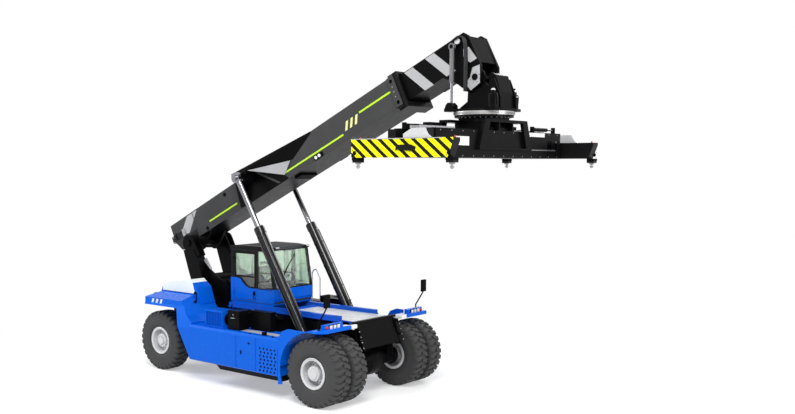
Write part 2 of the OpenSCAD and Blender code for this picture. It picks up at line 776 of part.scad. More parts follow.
// Box section with chamfered lower corners at the tail, a heel round the pivot and a front collar
module outer_boom() {
    chamfer = 230;
    heel_t = 60;
    in_half = boom_half - boom_wall;
    color(grey) boom_frame() {
        difference() {
            union() {
                translate([tail_cut, -boom_half, boom_rise]) cube([boom_l - tail_cut, boom_w, boom_h]);
                rotate([90, 0, 90]) translate([0, 0, -boom_tail])
                    linear_extrude(boom_tail + tail_cut + 1) polygon([
                    [-boom_half + 160, boom_rise], [boom_half - 160, boom_rise],
                    [boom_half, boom_rise + chamfer], [boom_half, boom_top], [-boom_half, boom_top],
                    [-boom_half, boom_rise + chamfer]]);
                both_sides() side_plate(boom_half - heel_t - 160, heel_t) polygon(concat(
                    [[-boom_tail + 60, boom_rise + 1], [-230, -100]],
                    arc(0, 0, 215, 215, 325, 8), [[520, boom_rise + 1]]));
                // collar
                translate([boom_l, -boom_half - 36, boom_rise - 110])
                    cube([collar_l, boom_w + 72, boom_h + 146]);
                both_sides() side_plate(boom_half + 35, 26) polygon([
                    [boom_l - 50, boom_rise + 10], [boom_l + 10, boom_rise - 70],
                    [boom_l + 150, boom_rise - 70], [boom_l + 150, boom_top + 20],
                    [boom_l - 50, boom_top - 20]]);
            }
            both_sides() for (z = [boom_rise + 90, boom_top - 120])
                translate([boom_l + 50, 0, z]) pin_y(46, boom_half + 50, 60);
            translate([-boom_tail + boom_wall, -in_half + 170, boom_rise + boom_wall])
                cube([boom_tail + 250, 2 * (in_half - 170), boom_h - 2 * boom_wall]);
            translate([-boom_tail + boom_wall, -in_half, boom_rise + chamfer + 30])
                cube([boom_tail + 250, 2 * in_half, boom_h - boom_wall - chamfer - 30]);
            translate([tail_cut + 20, -in_half, boom_rise + boom_wall])
                cube([boom_l + collar_l, 2 * in_half, boom_h - 2 * boom_wall]);
            pin_y(pin_r + running_gap, 0, 2000);
        }
    }
}

lift_pin_s = 2790;          // lift pin along the boom
lift_pin_n = 675;           // and above the pivot
saddle_half = 815;

// Flared brackets round the upper lift pins, with a triangular rear rib
module boom_saddle() {
    s = lift_pin_s;
    color(black) boom_frame() both_sides() {
        // rear rib, square to the boom
        rotate([90, 0, 90]) translate([0, 0, s - 330]) linear_extrude(40) polygon([
            [boom_half, boom_rise + 10], [saddle_half, lift_pin_n + 20], [saddle_half, boom_top + 90],
            [boom_half, boom_top + 150]]);
        // hood that flares out to the pin
        hull() {
            translate([s - 330, boom_half, boom_top + 120]) cube([40, 20, 30]);
            translate([s - 330, saddle_half - 30, boom_top + 20]) cube([40, 30, 70]);
            translate([s + 260, saddle_half - 30, boom_top - 60]) cube([40, 30, 90]);
            translate([s + 2300, boom_half, boom_top - 40]) cube([20, 12, 40]);
            translate([s + 1500, boom_half, boom_rise + 380]) cube([20, 12, 40]);
            translate([s - 200, boom_half, boom_top - 40]) cube([20, 12, 40]);
        }
        // pin boss
        difference() {
            translate([s, 0, lift_pin_n]) hull() {
                pin_y(150, (boom_half + saddle_half) / 2, saddle_half - boom_half);
                translate([-120, boom_half, 0]) cube([300, saddle_half - boom_half, 160]);
            }
        }
    }
}

inner_half = boom_half - boom_wall - boom_gap;
inner_bottom = boom_rise + boom_wall + boom_gap / 2;
inner_top = boom_top - boom_wall - boom_gap;
inner_tail = tail_cut + 60;
nose_s = boom_l + inner_reach;
head_s = 9773;
head_n = -230;
damper_top = [-515, 0, 660];
damper_low = [-515, 0, -580];
damper_y = inner_half + 114;
// Upper damper pins in the boom's frame, from the rotator's frame as parked
damper_s = head_s + damper_top[0] * cos(boom_angle) + damper_top[2] * sin(boom_angle);
damper_n = head_n - damper_top[0] * sin(boom_angle) + damper_top[2] * cos(boom_angle);
nose_t = 70;

// Inner box section with wear pads, the hanging nose plates and a hose sheave
module inner_boom() {
    wall = 16;
    pad = boom_gap - seat_gap;
    color(black) boom_frame() {
        difference() {
            translate([inner_tail, -inner_half, inner_bottom])
                cube([nose_s - inner_tail, 2 * inner_half, inner_top - inner_bottom]);
            translate([inner_tail - 1, -inner_half + wall, inner_bottom + wall])
                cube([nose_s - inner_tail - 60, 2 * (inner_half - wall),
                    inner_top - inner_bottom - 2 * wall]);
        }
        // wear pads at the tail
        both_sides() for (z = [inner_bottom + 60, inner_top - 160])
            box(inner_tail, inner_tail + 300, inner_half, inner_half + pad, z, z + 100);
        both_sides() {
            box(inner_tail, inner_tail + 300, inner_half - 220, inner_half - 60, inner_top, inner_top + pad);
            box(inner_tail, inner_tail + 300, inner_half - 220, inner_half - 60,
                inner_bottom - boom_gap / 2 + seat_gap, inner_bottom);
        }
        // nose plates
        both_sides() difference() {
            side_plate(inner_half - nose_t, nose_t) polygon([
                [nose_s - 240, inner_top], [nose_s + 620, inner_top], [nose_s + 700, inner_top - 110],
                [nose_s + 720, -70], [nose_s + 560, -430], [nose_s + 210, -450], [nose_s - 10, -80],
                [nose_s - 240, inner_bottom]]);
            translate([head_s, 0, head_n]) pin_y(70 + running_gap, inner_half, 400);
        }
        // front end plate
        translate([nose_s + 650, -inner_half + 1, 20]) cube([50, 2 * inner_half - 2, inner_top - 150]);
        // damper brackets and sheave
        both_sides() translate([damper_s, 0, damper_n]) pin_y(45, inner_half + 74, 150);
        translate([nose_s + 440, 0, inner_top - 107]) {
            pin_y(100, 0, 2 * inner_half + 50);
            pin_y(62, 0, 2 * inner_half + 90);
        }
    }
}

// ---------------------------------------------------------------- lift cylinders

lift_top_x = -pivot_back + lift_pin_s * cos(boom_angle) - lift_pin_n * sin(boom_angle);
lift_top_z = pivot_z + lift_pin_s * sin(boom_angle) + lift_pin_n * cos(boom_angle);
lift_lean = atan2(lift_foot_x - lift_top_x, lift_top_z - lift_foot_z);
lift_len = norm([lift_foot_x - lift_top_x, lift_top_z - lift_foot_z]);

rod_back = lift_len - lift_barrel_l + 1760;     // rod eye to the piston end
// A cylinder's own frame: its foot pin at the origin, its rod up +Z
module lift_frame(s) {
    rig() translate([lift_foot_x, s * lift_y, lift_foot_z]) rotate([0, -lift_lean, 0]) children();
}

module lift_barrel(s) {
    r = lift_barrel_d / 2;
    rod = lift_rod_d / 2 + running_gap;
    color(black) lift_frame(s) {
        difference() {
            union() {
                translate([0, 0, 90]) cylinder(r = r, h = lift_barrel_l - 90);
                translate([0, 0, lift_barrel_l - 160]) cylinder(r = r + 14, h = 160);
                pin_y(115, 0, 190);
            }
            translate([0, 0, 190]) cylinder(r = rod, h = lift_barrel_l);
        }
        pin_y(58, 0, 2 * (lift_y - frame_w / 2) - 2);
    }
}

module lift_rod(s) {
    color(silver) lift_frame(s) {
        translate([0, 0, lift_len - rod_back]) cylinder(r = lift_rod_d / 2, h = rod_back - 50);
        translate([0, 0, lift_len]) pin_y(135, 0, 190);
        translate([0, 0, lift_len]) pin_y(70, 0, 2 * (lift_y - saddle_half) - 30);
    }
}

// ---------------------------------------------------------------- rotator

module head_frame() { rig() translate([slew_x, 0, head_pin_z]) children(); }

module damper_barrels() {
    color(steel) head_frame() both_sides() translate([damper_top[0], damper_y, damper_top[2]]) difference() {
        union() {
            pin_y(75, 0, 70);
            translate([0, 0, -760]) cylinder(r = 50, h = 700);
        }
        pin_y(45 + running_gap, 0, 100);
        translate([0, 0, -770]) cylinder(r = 31, h = 680);
    }
}

module damper_rods() {
    color(silver) head_frame() both_sides() translate([damper_low[0], damper_y, damper_low[2]]) {
        cylinder(r = 30, h = 815);
        pin_y(48, 0, 72);
    }
}

ring_z = 6620;
yoke_base = ring_z + 75;

// Yoke that hangs from the head pin, its base over the slew ring, and the slew drives
module rotator_yoke() {
    lug = inner_half - nose_t - 10;
    z0 = yoke_base - head_pin_z;
    ear = damper_low[0];
    slot = 60;              // room for a damper's lower eye
    color(black) head_frame() {
        // webs, waisted behind the pin
        for (y = [-lug, lug - 60]) side_plate(y, 60) polygon(concat(
            [[-440, z0 + 40], [-420, z0 + 90], [-235, z0 + 215], [-215, -120]],
            reverse(arc(0, 0, 190, 10, 165, 10)), [[200, -120], [470, z0 + 360], [560, z0 + 40]]));
        // base plate, wide at the back for the damper ears, hollowed under the eyes
        difference() {
            translate([0, 0, z0]) linear_extrude(60) polygon([
                [ear - 130, -damper_y - slot - 30], [ear + 110, -damper_y - slot - 30], [-120, -470],
                [330, -540], [590, -540], [640, -300], [640, 300], [590, 540], [330, 540],
                [-120, 470], [ear + 110, damper_y + slot + 30], [ear - 130, damper_y + slot + 30],
                [ear - 130, damper_y - slot - 30], [ear - 60, 200], [ear - 60, -200],
                [ear - 130, -damper_y + slot + 30]]);
            both_sides() box(ear - 131, ear + 85, damper_y - slot, damper_y + slot, z0 + 20, z0 + 61);
        }
        both_sides() for (y = [damper_y - slot - 25, damper_y + slot]) side_plate(y, 25) polygon([
            [ear - 130, z0 + 50], [ear - 90, z0 + 150], [ear - 40, z0 + 195], [ear + 40, z0 + 195],
            [ear + 110, z0 + 130], [ear + 110, z0 + 50]]);
        pin_y(70, 0, 2 * inner_half + 40);
        // front post with a leaning face and side cheeks
        side_plate(-255, 510) polygon([
            [300, z0 + 50], [280, 60], [330, 75], [430, 30], [545, -330], [560, z0 + 50]]);
        both_sides() side_plate(300, 40) polygon([
            [230, z0 + 50], [330, -60], [440, -40], [600, z0 + 300], [610, z0 + 50]]);
        // slew drives
        for (y = [-430, 430]) translate([480, y, z0]) {
            cylinder(r = 98, h = 130);
            cylinder(r = 84, h = 300);
            cylinder(r = 58, h = 420);
            cylinder(r = 30, h = 500);
        }
    }
}

module slew_ring() {
    color(silver) rig() translate([slew_x, 0, ring_z]) difference() {
        cylinder(r = ring_d / 2, h = yoke_base - ring_z - seat_gap);
        translate([0, 0, -1]) cylinder(r = ring_d / 2 - 150, h = 200);
    }
}

frame_top_z = spreader_z + spreader_h;
side_half = spreader_w / 2;

// Carriage that shifts along the main frame, with splayed legs clamped round its beams
module shift_carriage() {
    g = 4;
    leg_top = ring_z - 110;
    shoe_z = spreader_z + 210;
    out = side_half + g;
    color(black) rig() translate([slew_x, 0, 0]) {
        translate([0, 0, ring_z - 50]) cylinder(r = ring_d / 2 - 10, h = 50);
        mid_box(-380, 380, 420, frame_top_z + g, ring_z - 49);
        for (x = [-side_half + 40, side_half - 140], y = [-480, 380])
            box(x, x + 100, y, y + 100, frame_top_z + seat_gap, frame_top_z + g + 60);
        mid_box(-side_half + 40, side_half - 40, 480, frame_top_z + g, frame_top_z + g + 60);
        for (x = [-1, 1]) mirror([x > 0 ? 0 : 1, 0, 0]) {
            mid_box(300, out + 70, 870, leg_top - 60, leg_top);
            for (y = [-1, 1]) translate([out, 0, 0]) mirror([0, y > 0 ? 0 : 1, 0])
                rotate([90, 0, 90]) linear_extrude(70) polygon([
                    [650, leg_top], [860, leg_top], [1080, shoe_z], [850, shoe_z]]);
            mid_box(out, out + 70, 1080, shoe_z - 40, shoe_z + 1);
            // stiffener between the legs and the deck
            for (y = [-300, 260]) box(330, out + 50, y, y + 40, frame_top_z + g, leg_top - 59);
        }
    }
}

// ---------------------------------------------------------------- spreader

cell_t = 20;
cell_w = (side_half - 40 - 3 * cell_t) / 2;
cell_x = [40 + cell_t, 40 + 2 * cell_t + cell_w];
frame_half_l = 2560;
end_y0 = lock_l / 2 - 125;
end_y1 = lock_l / 2 + 115;
arm_l = 4130;

// Two twin-celled box beams joined by cross ties
module spreader_frame() {
    color(black) rig() translate([slew_x, 0, 0]) {
        for (m = [0, 1]) mirror([m, 0, 0]) difference() {
            box(40, side_half, -frame_half_l, frame_half_l, spreader_z, frame_top_z);
            for (x = cell_x) box(x, x + cell_w, -frame_half_l - 1, frame_half_l + 1,
                spreader_z + cell_t, frame_top_z - cell_t);
            // lightening holes in the outer web
            both_sides() box(side_half - cell_t - 1, side_half + 1, frame_half_l - 640, frame_half_l - 150,
                spreader_z + 190, spreader_z + 400);
        }
        for (y = [-frame_half_l, -900, 860, frame_half_l - 40])
            box(-41, 41, y, y + 40, spreader_z + 60, frame_top_z - 60);
    }
}

// Sliding arms in one pair of cells and the end beam with its lock housings
module end_beam(cell) {
    g = 4;
    arm_h = spreader_h - 2 * cell_t - 2 * g;
    half = lock_w / 2 + 90;
    for (m = [0, 1]) mirror([m, 0, 0]) difference() {
        box(cell_x[cell] + g, cell_x[cell] + cell_w - g, end_y0 - arm_l, end_y0 + 1,
            spreader_z + cell_t + g, spreader_z + cell_t + g + arm_h);
        box(cell_x[cell] + g + 14, cell_x[cell] + cell_w - g - 14, end_y0 - arm_l - 1, end_y0 - 30,
            spreader_z + cell_t + g + 14, spreader_z + cell_t + g + arm_h - 14);
    }
    for (m = [0, 1], y = [frame_half_l - 200, 300]) mirror([m, 0, 0])
        box(cell_x[cell] + 30, cell_x[cell] + cell_w - 30, y, y + 120, spreader_z + cell_t + seat_gap,
            spreader_z + cell_t + g + 1);
    mid_end(half);
    for (x = [-1, 1]) translate([x * lock_w / 2, lock_l / 2, spreader_z - 100])
        translate([-85, -85, 0]) cube([170, 170, 101]);
    // upright in the middle of the end beam
    side_plate(end_y1 - 60, 40) polygon(concat(
        [[60, spreader_z + 369], [60, spreader_z + 450], [260, spreader_z + 560], [560, spreader_z + 560]],
        arc(830, spreader_z + 620, 270, 195, 262, 6), [[860, spreader_z + 369]]));
}

// Outline of the end beam, whose front end leans
module end_outline(half, inset) {
    h = 370;
    polygon([[-half + inset, spreader_z + inset], [half - 120 - inset, spreader_z + inset],
        [half - inset, spreader_z + h - 60], [half - inset, spreader_z + h - inset],
        [-half + inset, spreader_z + h - inset]]);
}

module mid_end(half) {
    w = 24;
    difference() {
        side_plate(end_y0, end_y1 - end_y0) end_outline(half, 0);
        side_plate(end_y0 + w, end_y1 - end_y0 - 2 * w) end_outline(half, w);
    }
    // lifting eye and guide latch on the face
    side_plate(end_y1 - 1, 26) polygon([
        [-110, spreader_z + 150], [350, spreader_z + 120], [380, spreader_z + 200], [250, spreader_z + 250],
        [-60, spreader_z + 240]]);
}

module left_end_beam() { color(yellow) rig() translate([slew_x, 0, 0]) end_beam(0); }

module right_end_beam() {
    color(yellow) rig() translate([slew_x, 0, 0]) mirror([0, 1, 0]) end_beam(1);
}

// Shaft, collar and pointed head of one lock
module twistlock() {
    z = spreader_z - 100;
    translate([0, 0, z - 70]) cylinder(r = 28, h = 70 - seat_gap);
    translate([-51, -31, z - 30]) cube([102, 62, 30 - seat_gap]);
    translate([0, 0, z - 70]) rotate([180, 0, 0]) intersection() {
        cylinder(r1 = 52, r2 = 20, h = 50);
        translate([-60, -30, 0]) cube([120, 60, 60]);
    }
}

module lock(x, y) {
    color(steel) rig() translate([slew_x + x * lock_w / 2, y * lock_l / 2, 0]) twistlock();
}

// ---------------------------------------------------------------- nodes

chassis_frame();
boom_towers();
counterweight();
rear_hood();
engine_block();
side_tanks();
front_fenders();
deck();
drive_axle();
steer_axle();
condenser();
equipment_boxes();
handrails();
mirrors();
cab_base();
cab_shell();
cab_glass();
driver_seat();
right_door();
left_door();
right_door_glass();
left_door_glass();
outer_boom();
boom_saddle();
inner_boom();
lift_barrel(1);  // lift_barrel_left
lift_barrel(-1);  // lift_barrel_right
lift_rod(1);  // lift_rod_left
lift_rod(-1);  // lift_rod_right
damper_barrels();
damper_rods();
rotator_yoke();
slew_ring();
shift_carriage();
spreader_frame();
left_end_beam();
right_end_beam();
lock(1, 1);  // twistlock_front_left
lock(1, -1);  // twistlock_front_right
lock(-1, 1);  // twistlock_rear_left
lock(-1, -1);  // twistlock_rear_right
drive_tyres(1);  // front_tyres_left
drive_tyres(-1);  // front_tyres_right
drive_rims(1);  // front_rims_left
drive_rims(-1);  // front_rims_right
knuckle(1);  // steer_knuckle_left
knuckle(-1);  // steer_knuckle_right
steered_tyre(1);  // rear_tyre_left
steered_tyre(-1);  // rear_tyre_right
steered_rim(1);  // rear_rim_left
steered_rim(-1);  // rear_rim_right
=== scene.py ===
import math

import bpy
import bmesh
from mathutils import Matrix, Vector
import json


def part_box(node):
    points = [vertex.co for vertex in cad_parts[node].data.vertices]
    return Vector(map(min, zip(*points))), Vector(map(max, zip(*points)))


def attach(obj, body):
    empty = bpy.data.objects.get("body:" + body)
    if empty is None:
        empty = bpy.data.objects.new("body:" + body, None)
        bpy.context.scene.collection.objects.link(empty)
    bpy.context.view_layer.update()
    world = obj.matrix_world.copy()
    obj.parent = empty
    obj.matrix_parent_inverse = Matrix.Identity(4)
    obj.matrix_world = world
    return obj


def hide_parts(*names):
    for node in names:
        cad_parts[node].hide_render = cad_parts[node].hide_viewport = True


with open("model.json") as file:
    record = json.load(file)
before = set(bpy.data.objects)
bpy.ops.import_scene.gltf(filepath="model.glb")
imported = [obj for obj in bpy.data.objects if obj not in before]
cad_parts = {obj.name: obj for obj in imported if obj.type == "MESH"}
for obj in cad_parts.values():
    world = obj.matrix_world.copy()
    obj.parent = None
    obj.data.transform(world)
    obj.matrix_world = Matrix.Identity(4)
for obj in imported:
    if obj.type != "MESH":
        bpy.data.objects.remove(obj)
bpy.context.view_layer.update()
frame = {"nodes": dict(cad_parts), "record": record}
nodes = frame["nodes"]
joint = {j["name"]: j for j in frame["record"]["behaviour"]["joints"]}

# ---- Viewpoint, floor and light
# The machine stands on a pale studio floor under one large soft key lamp and three fills. Places are
# given in metres ahead of the drive axle, to the left of the machine's middle and above the ground.
axle_x = sum(corner[0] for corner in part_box("drive_axle")) / 2
scene = bpy.context.scene


def at(x, y, z):
    """A point given ahead of the drive axle, to the left of the middle and above the ground."""
    return Vector((x + axle_x, y, z))


view_yaw, view_pitch = math.radians(40.36), math.radians(5.69)
camera = bpy.data.objects.new("camera", bpy.data.cameras.new("camera"))
camera.data.sensor_width = 36.0
camera.data.lens = 42.9962
camera.data.shift_x = 0.0755
camera.data.shift_y = 0.0664
camera.data.clip_end = 300
camera.location = at(14.23, -17.88, 5.55)
camera.rotation_euler = (math.pi / 2 - view_pitch, 0, view_yaw)
scene.collection.objects.link(camera)
scene.camera = camera
scene.view_settings.view_transform = "Standard"


def lamp(name, place, aim, size, power):
    """A round soft lamp, turned to its aim."""
    light = bpy.data.lights.new(name, "AREA")
    light.shape = "DISK"
    light.size = size
    light.energy = power
    o = bpy.data.objects.new(name, light)
    o.location = place
    o.rotation_euler = (Vector(aim) - Vector(place)).to_track_quat("-Z", "Y").to_euler()
    scene.collection.objects.link(o)


lamp("key_lamp", at(9, -13, 17), at(-1, 0, 3), 9, 3300)
lamp("front_lamp", at(20, 3, 9), at(0, 0, 3), 8, 1300)
lamp("rear_lamp", at(-16, -9, 11), at(-3, 0, 3), 8, 1100)
lamp("left_lamp", at(-2, 17, 12), at(0, 0, 3), 8, 900)


class Wiring:
    """Adds nodes to a tree and joins them in one call each."""

    def __init__(self, tree):
        self.tree = tree

    def node(self, kind, settings=None, **inputs):
        n = self.tree.nodes.new(kind)
        for key, value in (settings or {}).items():
            setattr(n, key, value)
        for key, value in inputs.items():
            slot = n.inputs[int(key[1:])] if key[0] == "i" and key[1:].isdigit() else n.inputs[key]
            if isinstance(value, bpy.types.NodeSocket):
                self.tree.links.new(value, slot)
            else:
                slot.default_value = value
        return n

    def math(self, what, a, b=0.0, c=0.0):
        return self.node("ShaderNodeMath", {"operation": what}, i0=a, i1=b, i2=c).outputs[0]

    def scale(self, vector, by):
        return self.node("ShaderNodeVectorMath", {"operation": "SCALE"}, i0=vector, Scale=by).outputs[0]

    def blend(self, how, amount, a, b):
        n = self.tree.nodes.new("ShaderNodeMix")
        n.data_type = "RGBA"
        n.blend_type = how
        for index, value in ((0, amount), (6, a), (7, b)):
            if isinstance(value, bpy.types.NodeSocket):
                self.tree.links.new(value, n.inputs[index])
            else:
                n.inputs[index].default_value = value
        return n.outputs[2]

    def remap(self, value, a, b, c, d):
        n = self.node("ShaderNodeMapRange", None, i0=value, i1=a, i2=b, i3=c, i4=d)
        return n.outputs[0]


def shown_rays(w):
    """1 for what the camera sees directly, in a reflection or through glass, and 0 for soft light."""
    rays = w.node("ShaderNodeLightPath").outputs
    direct = w.math("MAXIMUM", rays["Is Camera Ray"], rays["Is Glossy Ray"])
    return w.math("MAXIMUM", direct, rays["Is Transmission Ray"])


world = bpy.data.worlds.new("studio")
world.use_nodes = True
scene.world = world
w = Wiring(world.node_tree)
w.tree.nodes.clear()
seen = w.node("ShaderNodeBackground", None, Color=(1, 1, 1, 1), Strength=1.0).outputs[0]
lit = w.node("ShaderNodeBackground", None, Color=(0.95, 0.97, 1.0, 1), Strength=0.42).outputs[0]
mix = w.node("ShaderNodeMixShader", None, i0=shown_rays(w), i1=lit, i2=seen).outputs[0]
w.node("ShaderNodeOutputWorld", None, Surface=mix)

floor_half = 60
floor_mesh = bpy.data.meshes.new("floor")
floor_mesh.from_pydata([(-floor_half, -floor_half, 0), (floor_half, -floor_half, 0),
                        (floor_half, floor_half, 0), (-floor_half, floor_half, 0)],
                       [], [(0, 1, 2, 3)])
floor = bpy.data.objects.new("floor", floor_mesh)
scene.collection.objects.link(floor)
floor_paint = bpy.data.materials.new("pale_floor")
floor_paint.use_nodes = True
w = Wiring(floor_paint.node_tree)
body = w.tree.nodes["Principled BSDF"]
body.inputs["Base Color"].default_value = (0.86, 0.86, 0.86, 1)
body.inputs["Roughness"].default_value = 0.9
body.inputs["Specular IOR Level"].default_value = 0.1
# the floor keeps the shadow near the machine and turns plain white further out
fade_from, fade_to = 5.0, 13.0
matt = body.outputs[0]
glow = w.node("ShaderNodeEmission", None, Strength=0.36).outputs[0]
near = w.node("ShaderNodeAddShader", None, i0=matt, i1=glow).outputs[0]
white = w.node("ShaderNodeEmission", None, Strength=1.0).outputs[0]
place = w.node("ShaderNodeTexCoord").outputs["Object"]
away = w.node("ShaderNodeVectorMath", {"operation": "LENGTH"}, i0=place).outputs["Value"]
fade = w.node("ShaderNodeMapRange", {"interpolation_type": "SMOOTHSTEP"}, i0=away, i1=fade_from,
              i2=fade_to).outputs[0]
spread = w.node("ShaderNodeMixShader", None, i0=fade, i1=near, i2=white).outputs[0]
pick = w.node("ShaderNodeMixShader", None, i0=shown_rays(w), i1=matt, i2=spread).outputs[0]
w.tree.links.new(pick, w.tree.nodes["Material Output"].inputs["Surface"])
floor_mesh.materials.append(floor_paint)

# ---- Frame, axles and towers
# Welded plate, sprayed in satin black, with a thin film of dust on what faces up. The same spray
# finish, in other colours, covers the rest of the steelwork.


def socket(group, name, kind, way, value=None):
    s = group.interface.new_socket(name=name, in_out=way, socket_type=kind)
    if value is not None:
        s.default_value = value
    return s


spray = bpy.data.node_groups.new("sprayed_paint", "ShaderNodeTree")
socket(spray, "Paint", "NodeSocketColor", "INPUT", (0.5, 0.5, 0.5, 1))
socket(spray, "Dust", "NodeSocketColor", "INPUT", (0.5, 0.48, 0.45, 1))
socket(spray, "Dustiness", "NodeSocketFloat", "INPUT", 0.2)
socket(spray, "Mottle", "NodeSocketFloat", "INPUT", 0.2)
socket(spray, "Peel", "NodeSocketFloat", "INPUT", 90.0)
socket(spray, "Roughness", "NodeSocketFloat", "INPUT", 0.4)
socket(spray, "Color", "NodeSocketColor", "OUTPUT")
socket(spray, "Rough", "NodeSocketFloat", "OUTPUT")
socket(spray, "Height", "NodeSocketFloat", "OUTPUT")


w = Wiring(spray)
given = spray.nodes.new("NodeGroupInput")
made = spray.nodes.new("NodeGroupOutput")
place = w.node("ShaderNodeTexCoord").outputs["Object"]
broad = w.node("ShaderNodeTexNoise", None, Vector=place, Scale=1.3, Detail=3.0).outputs[0]
patch = w.node("ShaderNodeTexNoise", None, Vector=place, Scale=6.0, Detail=5.0, Roughness=0.65).outputs[0]
peel = w.node("ShaderNodeTexNoise", None, Vector=place, Scale=given.outputs["Peel"], Detail=2.0).outputs[0]
shade = w.remap(broad, 0.3, 0.7, -0.5, 0.5)
lift = w.math("MULTIPLY_ADD", shade, given.outputs["Mottle"], 1.0)
toned = w.scale(given.outputs["Paint"], lift)
up = w.node("ShaderNodeSeparateXYZ", None, i0=w.node("ShaderNodeNewGeometry").outputs["Normal"]).outputs[2]
level = w.remap(up, 0.35, 1.0, 0.12, 1.0)
spots = w.remap(patch, 0.38, 0.72, 0.15, 1.0)
film = w.math("MULTIPLY", w.math("MULTIPLY", level, spots), given.outputs["Dustiness"])
spray.links.new(w.blend("MIX", film, toned, given.outputs["Dust"]), made.inputs["Color"])
gloss = w.math("MULTIPLY_ADD", w.math("SUBTRACT", patch, 0.5), 0.22, given.outputs["Roughness"])
spray.links.new(w.math("MULTIPLY_ADD", film, 0.5, gloss), made.inputs["Rough"])
spray.links.new(peel, made.inputs["Height"])


def painted(name, colour, rough=0.38, dust=0.16, mottle=0.12, peel=90.0, coat=0.25, metal=0.0, shine=0.5,
            grain=0.12, dust_colour=(0.5, 0.48, 0.45)):
    """A sprayed, machined or moulded finish in one colour; on a few pieces such a colour stands for painted
    shade or a painted highlight.
    """
    m = bpy.data.materials.new(name)
    m.use_nodes = True
    t = Wiring(m.node_tree)
    body = m.node_tree.nodes["Principled BSDF"]
    g = t.node("ShaderNodeGroup", {"node_tree": spray}, Paint=(*colour, 1), Dust=(*dust_colour, 1),
               Dustiness=dust, Mottle=mottle, Peel=peel, Roughness=rough)
    m.node_tree.links.new(g.outputs["Color"], body.inputs["Base Color"])
    m.node_tree.links.new(g.outputs["Rough"], body.inputs["Roughness"])
    bump = t.node("ShaderNodeBump", None, Strength=grain, Distance=0.002, Height=g.outputs["Height"])
    m.node_tree.links.new(bump.outputs[0], body.inputs["Normal"])
    body.inputs["Coat Weight"].default_value = coat
    body.inputs["Coat Roughness"].default_value = 0.12
    body.inputs["Metallic"].default_value = metal
    body.inputs["Specular IOR Level"].default_value = shine
    return m


# the satin black also serves as the painted shadow in the saddle's cheek plates
black_paint_and_shade = painted("satin_black_paint_and_shade", (0.003, 0.003, 0.0034), 0.32, 0.003, 0.3, 90, 0.0, 0.0, 0.05)
# the dull black also serves as painted shade in the slots of the step plates
deep_black_and_shade = painted("dull_black_paint_and_shade", (0.0025, 0.0025, 0.0028), 0.6, 0.004, 0.3, 60, 0.0, 0.0, 0.04)


def finish_node(material, *names):
    """Gives a finish to CAD pieces, whose shape stays as it is."""
    for n in names:
        mesh = nodes[n].data
        mesh.materials.clear()
        mesh.materials.append(material)


finish_node(black_paint_and_shade, "chassis_frame", "boom_towers", "counterweight", "steer_axle", "drive_axle",
            "equipment_boxes")


def piece(name, mesh, material, body, bevel=0.0, smooth=False):
    """A finished piece: its place is in its mesh, and it rides on a body."""
    mesh.name = name
    mesh.materials.clear()
    mesh.materials.append(material)
    o = bpy.data.objects.new(name, mesh)
    scene.collection.objects.link(o)
    if bevel:
        cut = o.modifiers.new("edges", "BEVEL")
        cut.width = bevel
        cut.segments = 2
        cut.limit_method = "ANGLE"
        cut.angle_limit = math.radians(40)
    if smooth:
        for p in mesh.polygons:
            p.use_smooth = True
    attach(o, body)
    return o


def eased(points, rounds):
    """The path through points, with its corners cut back again in every round."""
    path = [Vector(p) for p in points]
    for _ in range(rounds):
        soft = [path[0]]
        for p, q in zip(path, path[1:]):
            soft += [p.lerp(q, 0.25), p.lerp(q, 0.75)]
        path = soft + [path[-1]]
    return path


def circle(count, r, start=0.0):
    """Pairs of places round a circle of radius r, the first of them start steps on."""
    angles = (math.tau * (k + start) / count for k in range(count))
    return [(r * math.cos(t), r * math.sin(t)) for t in angles]


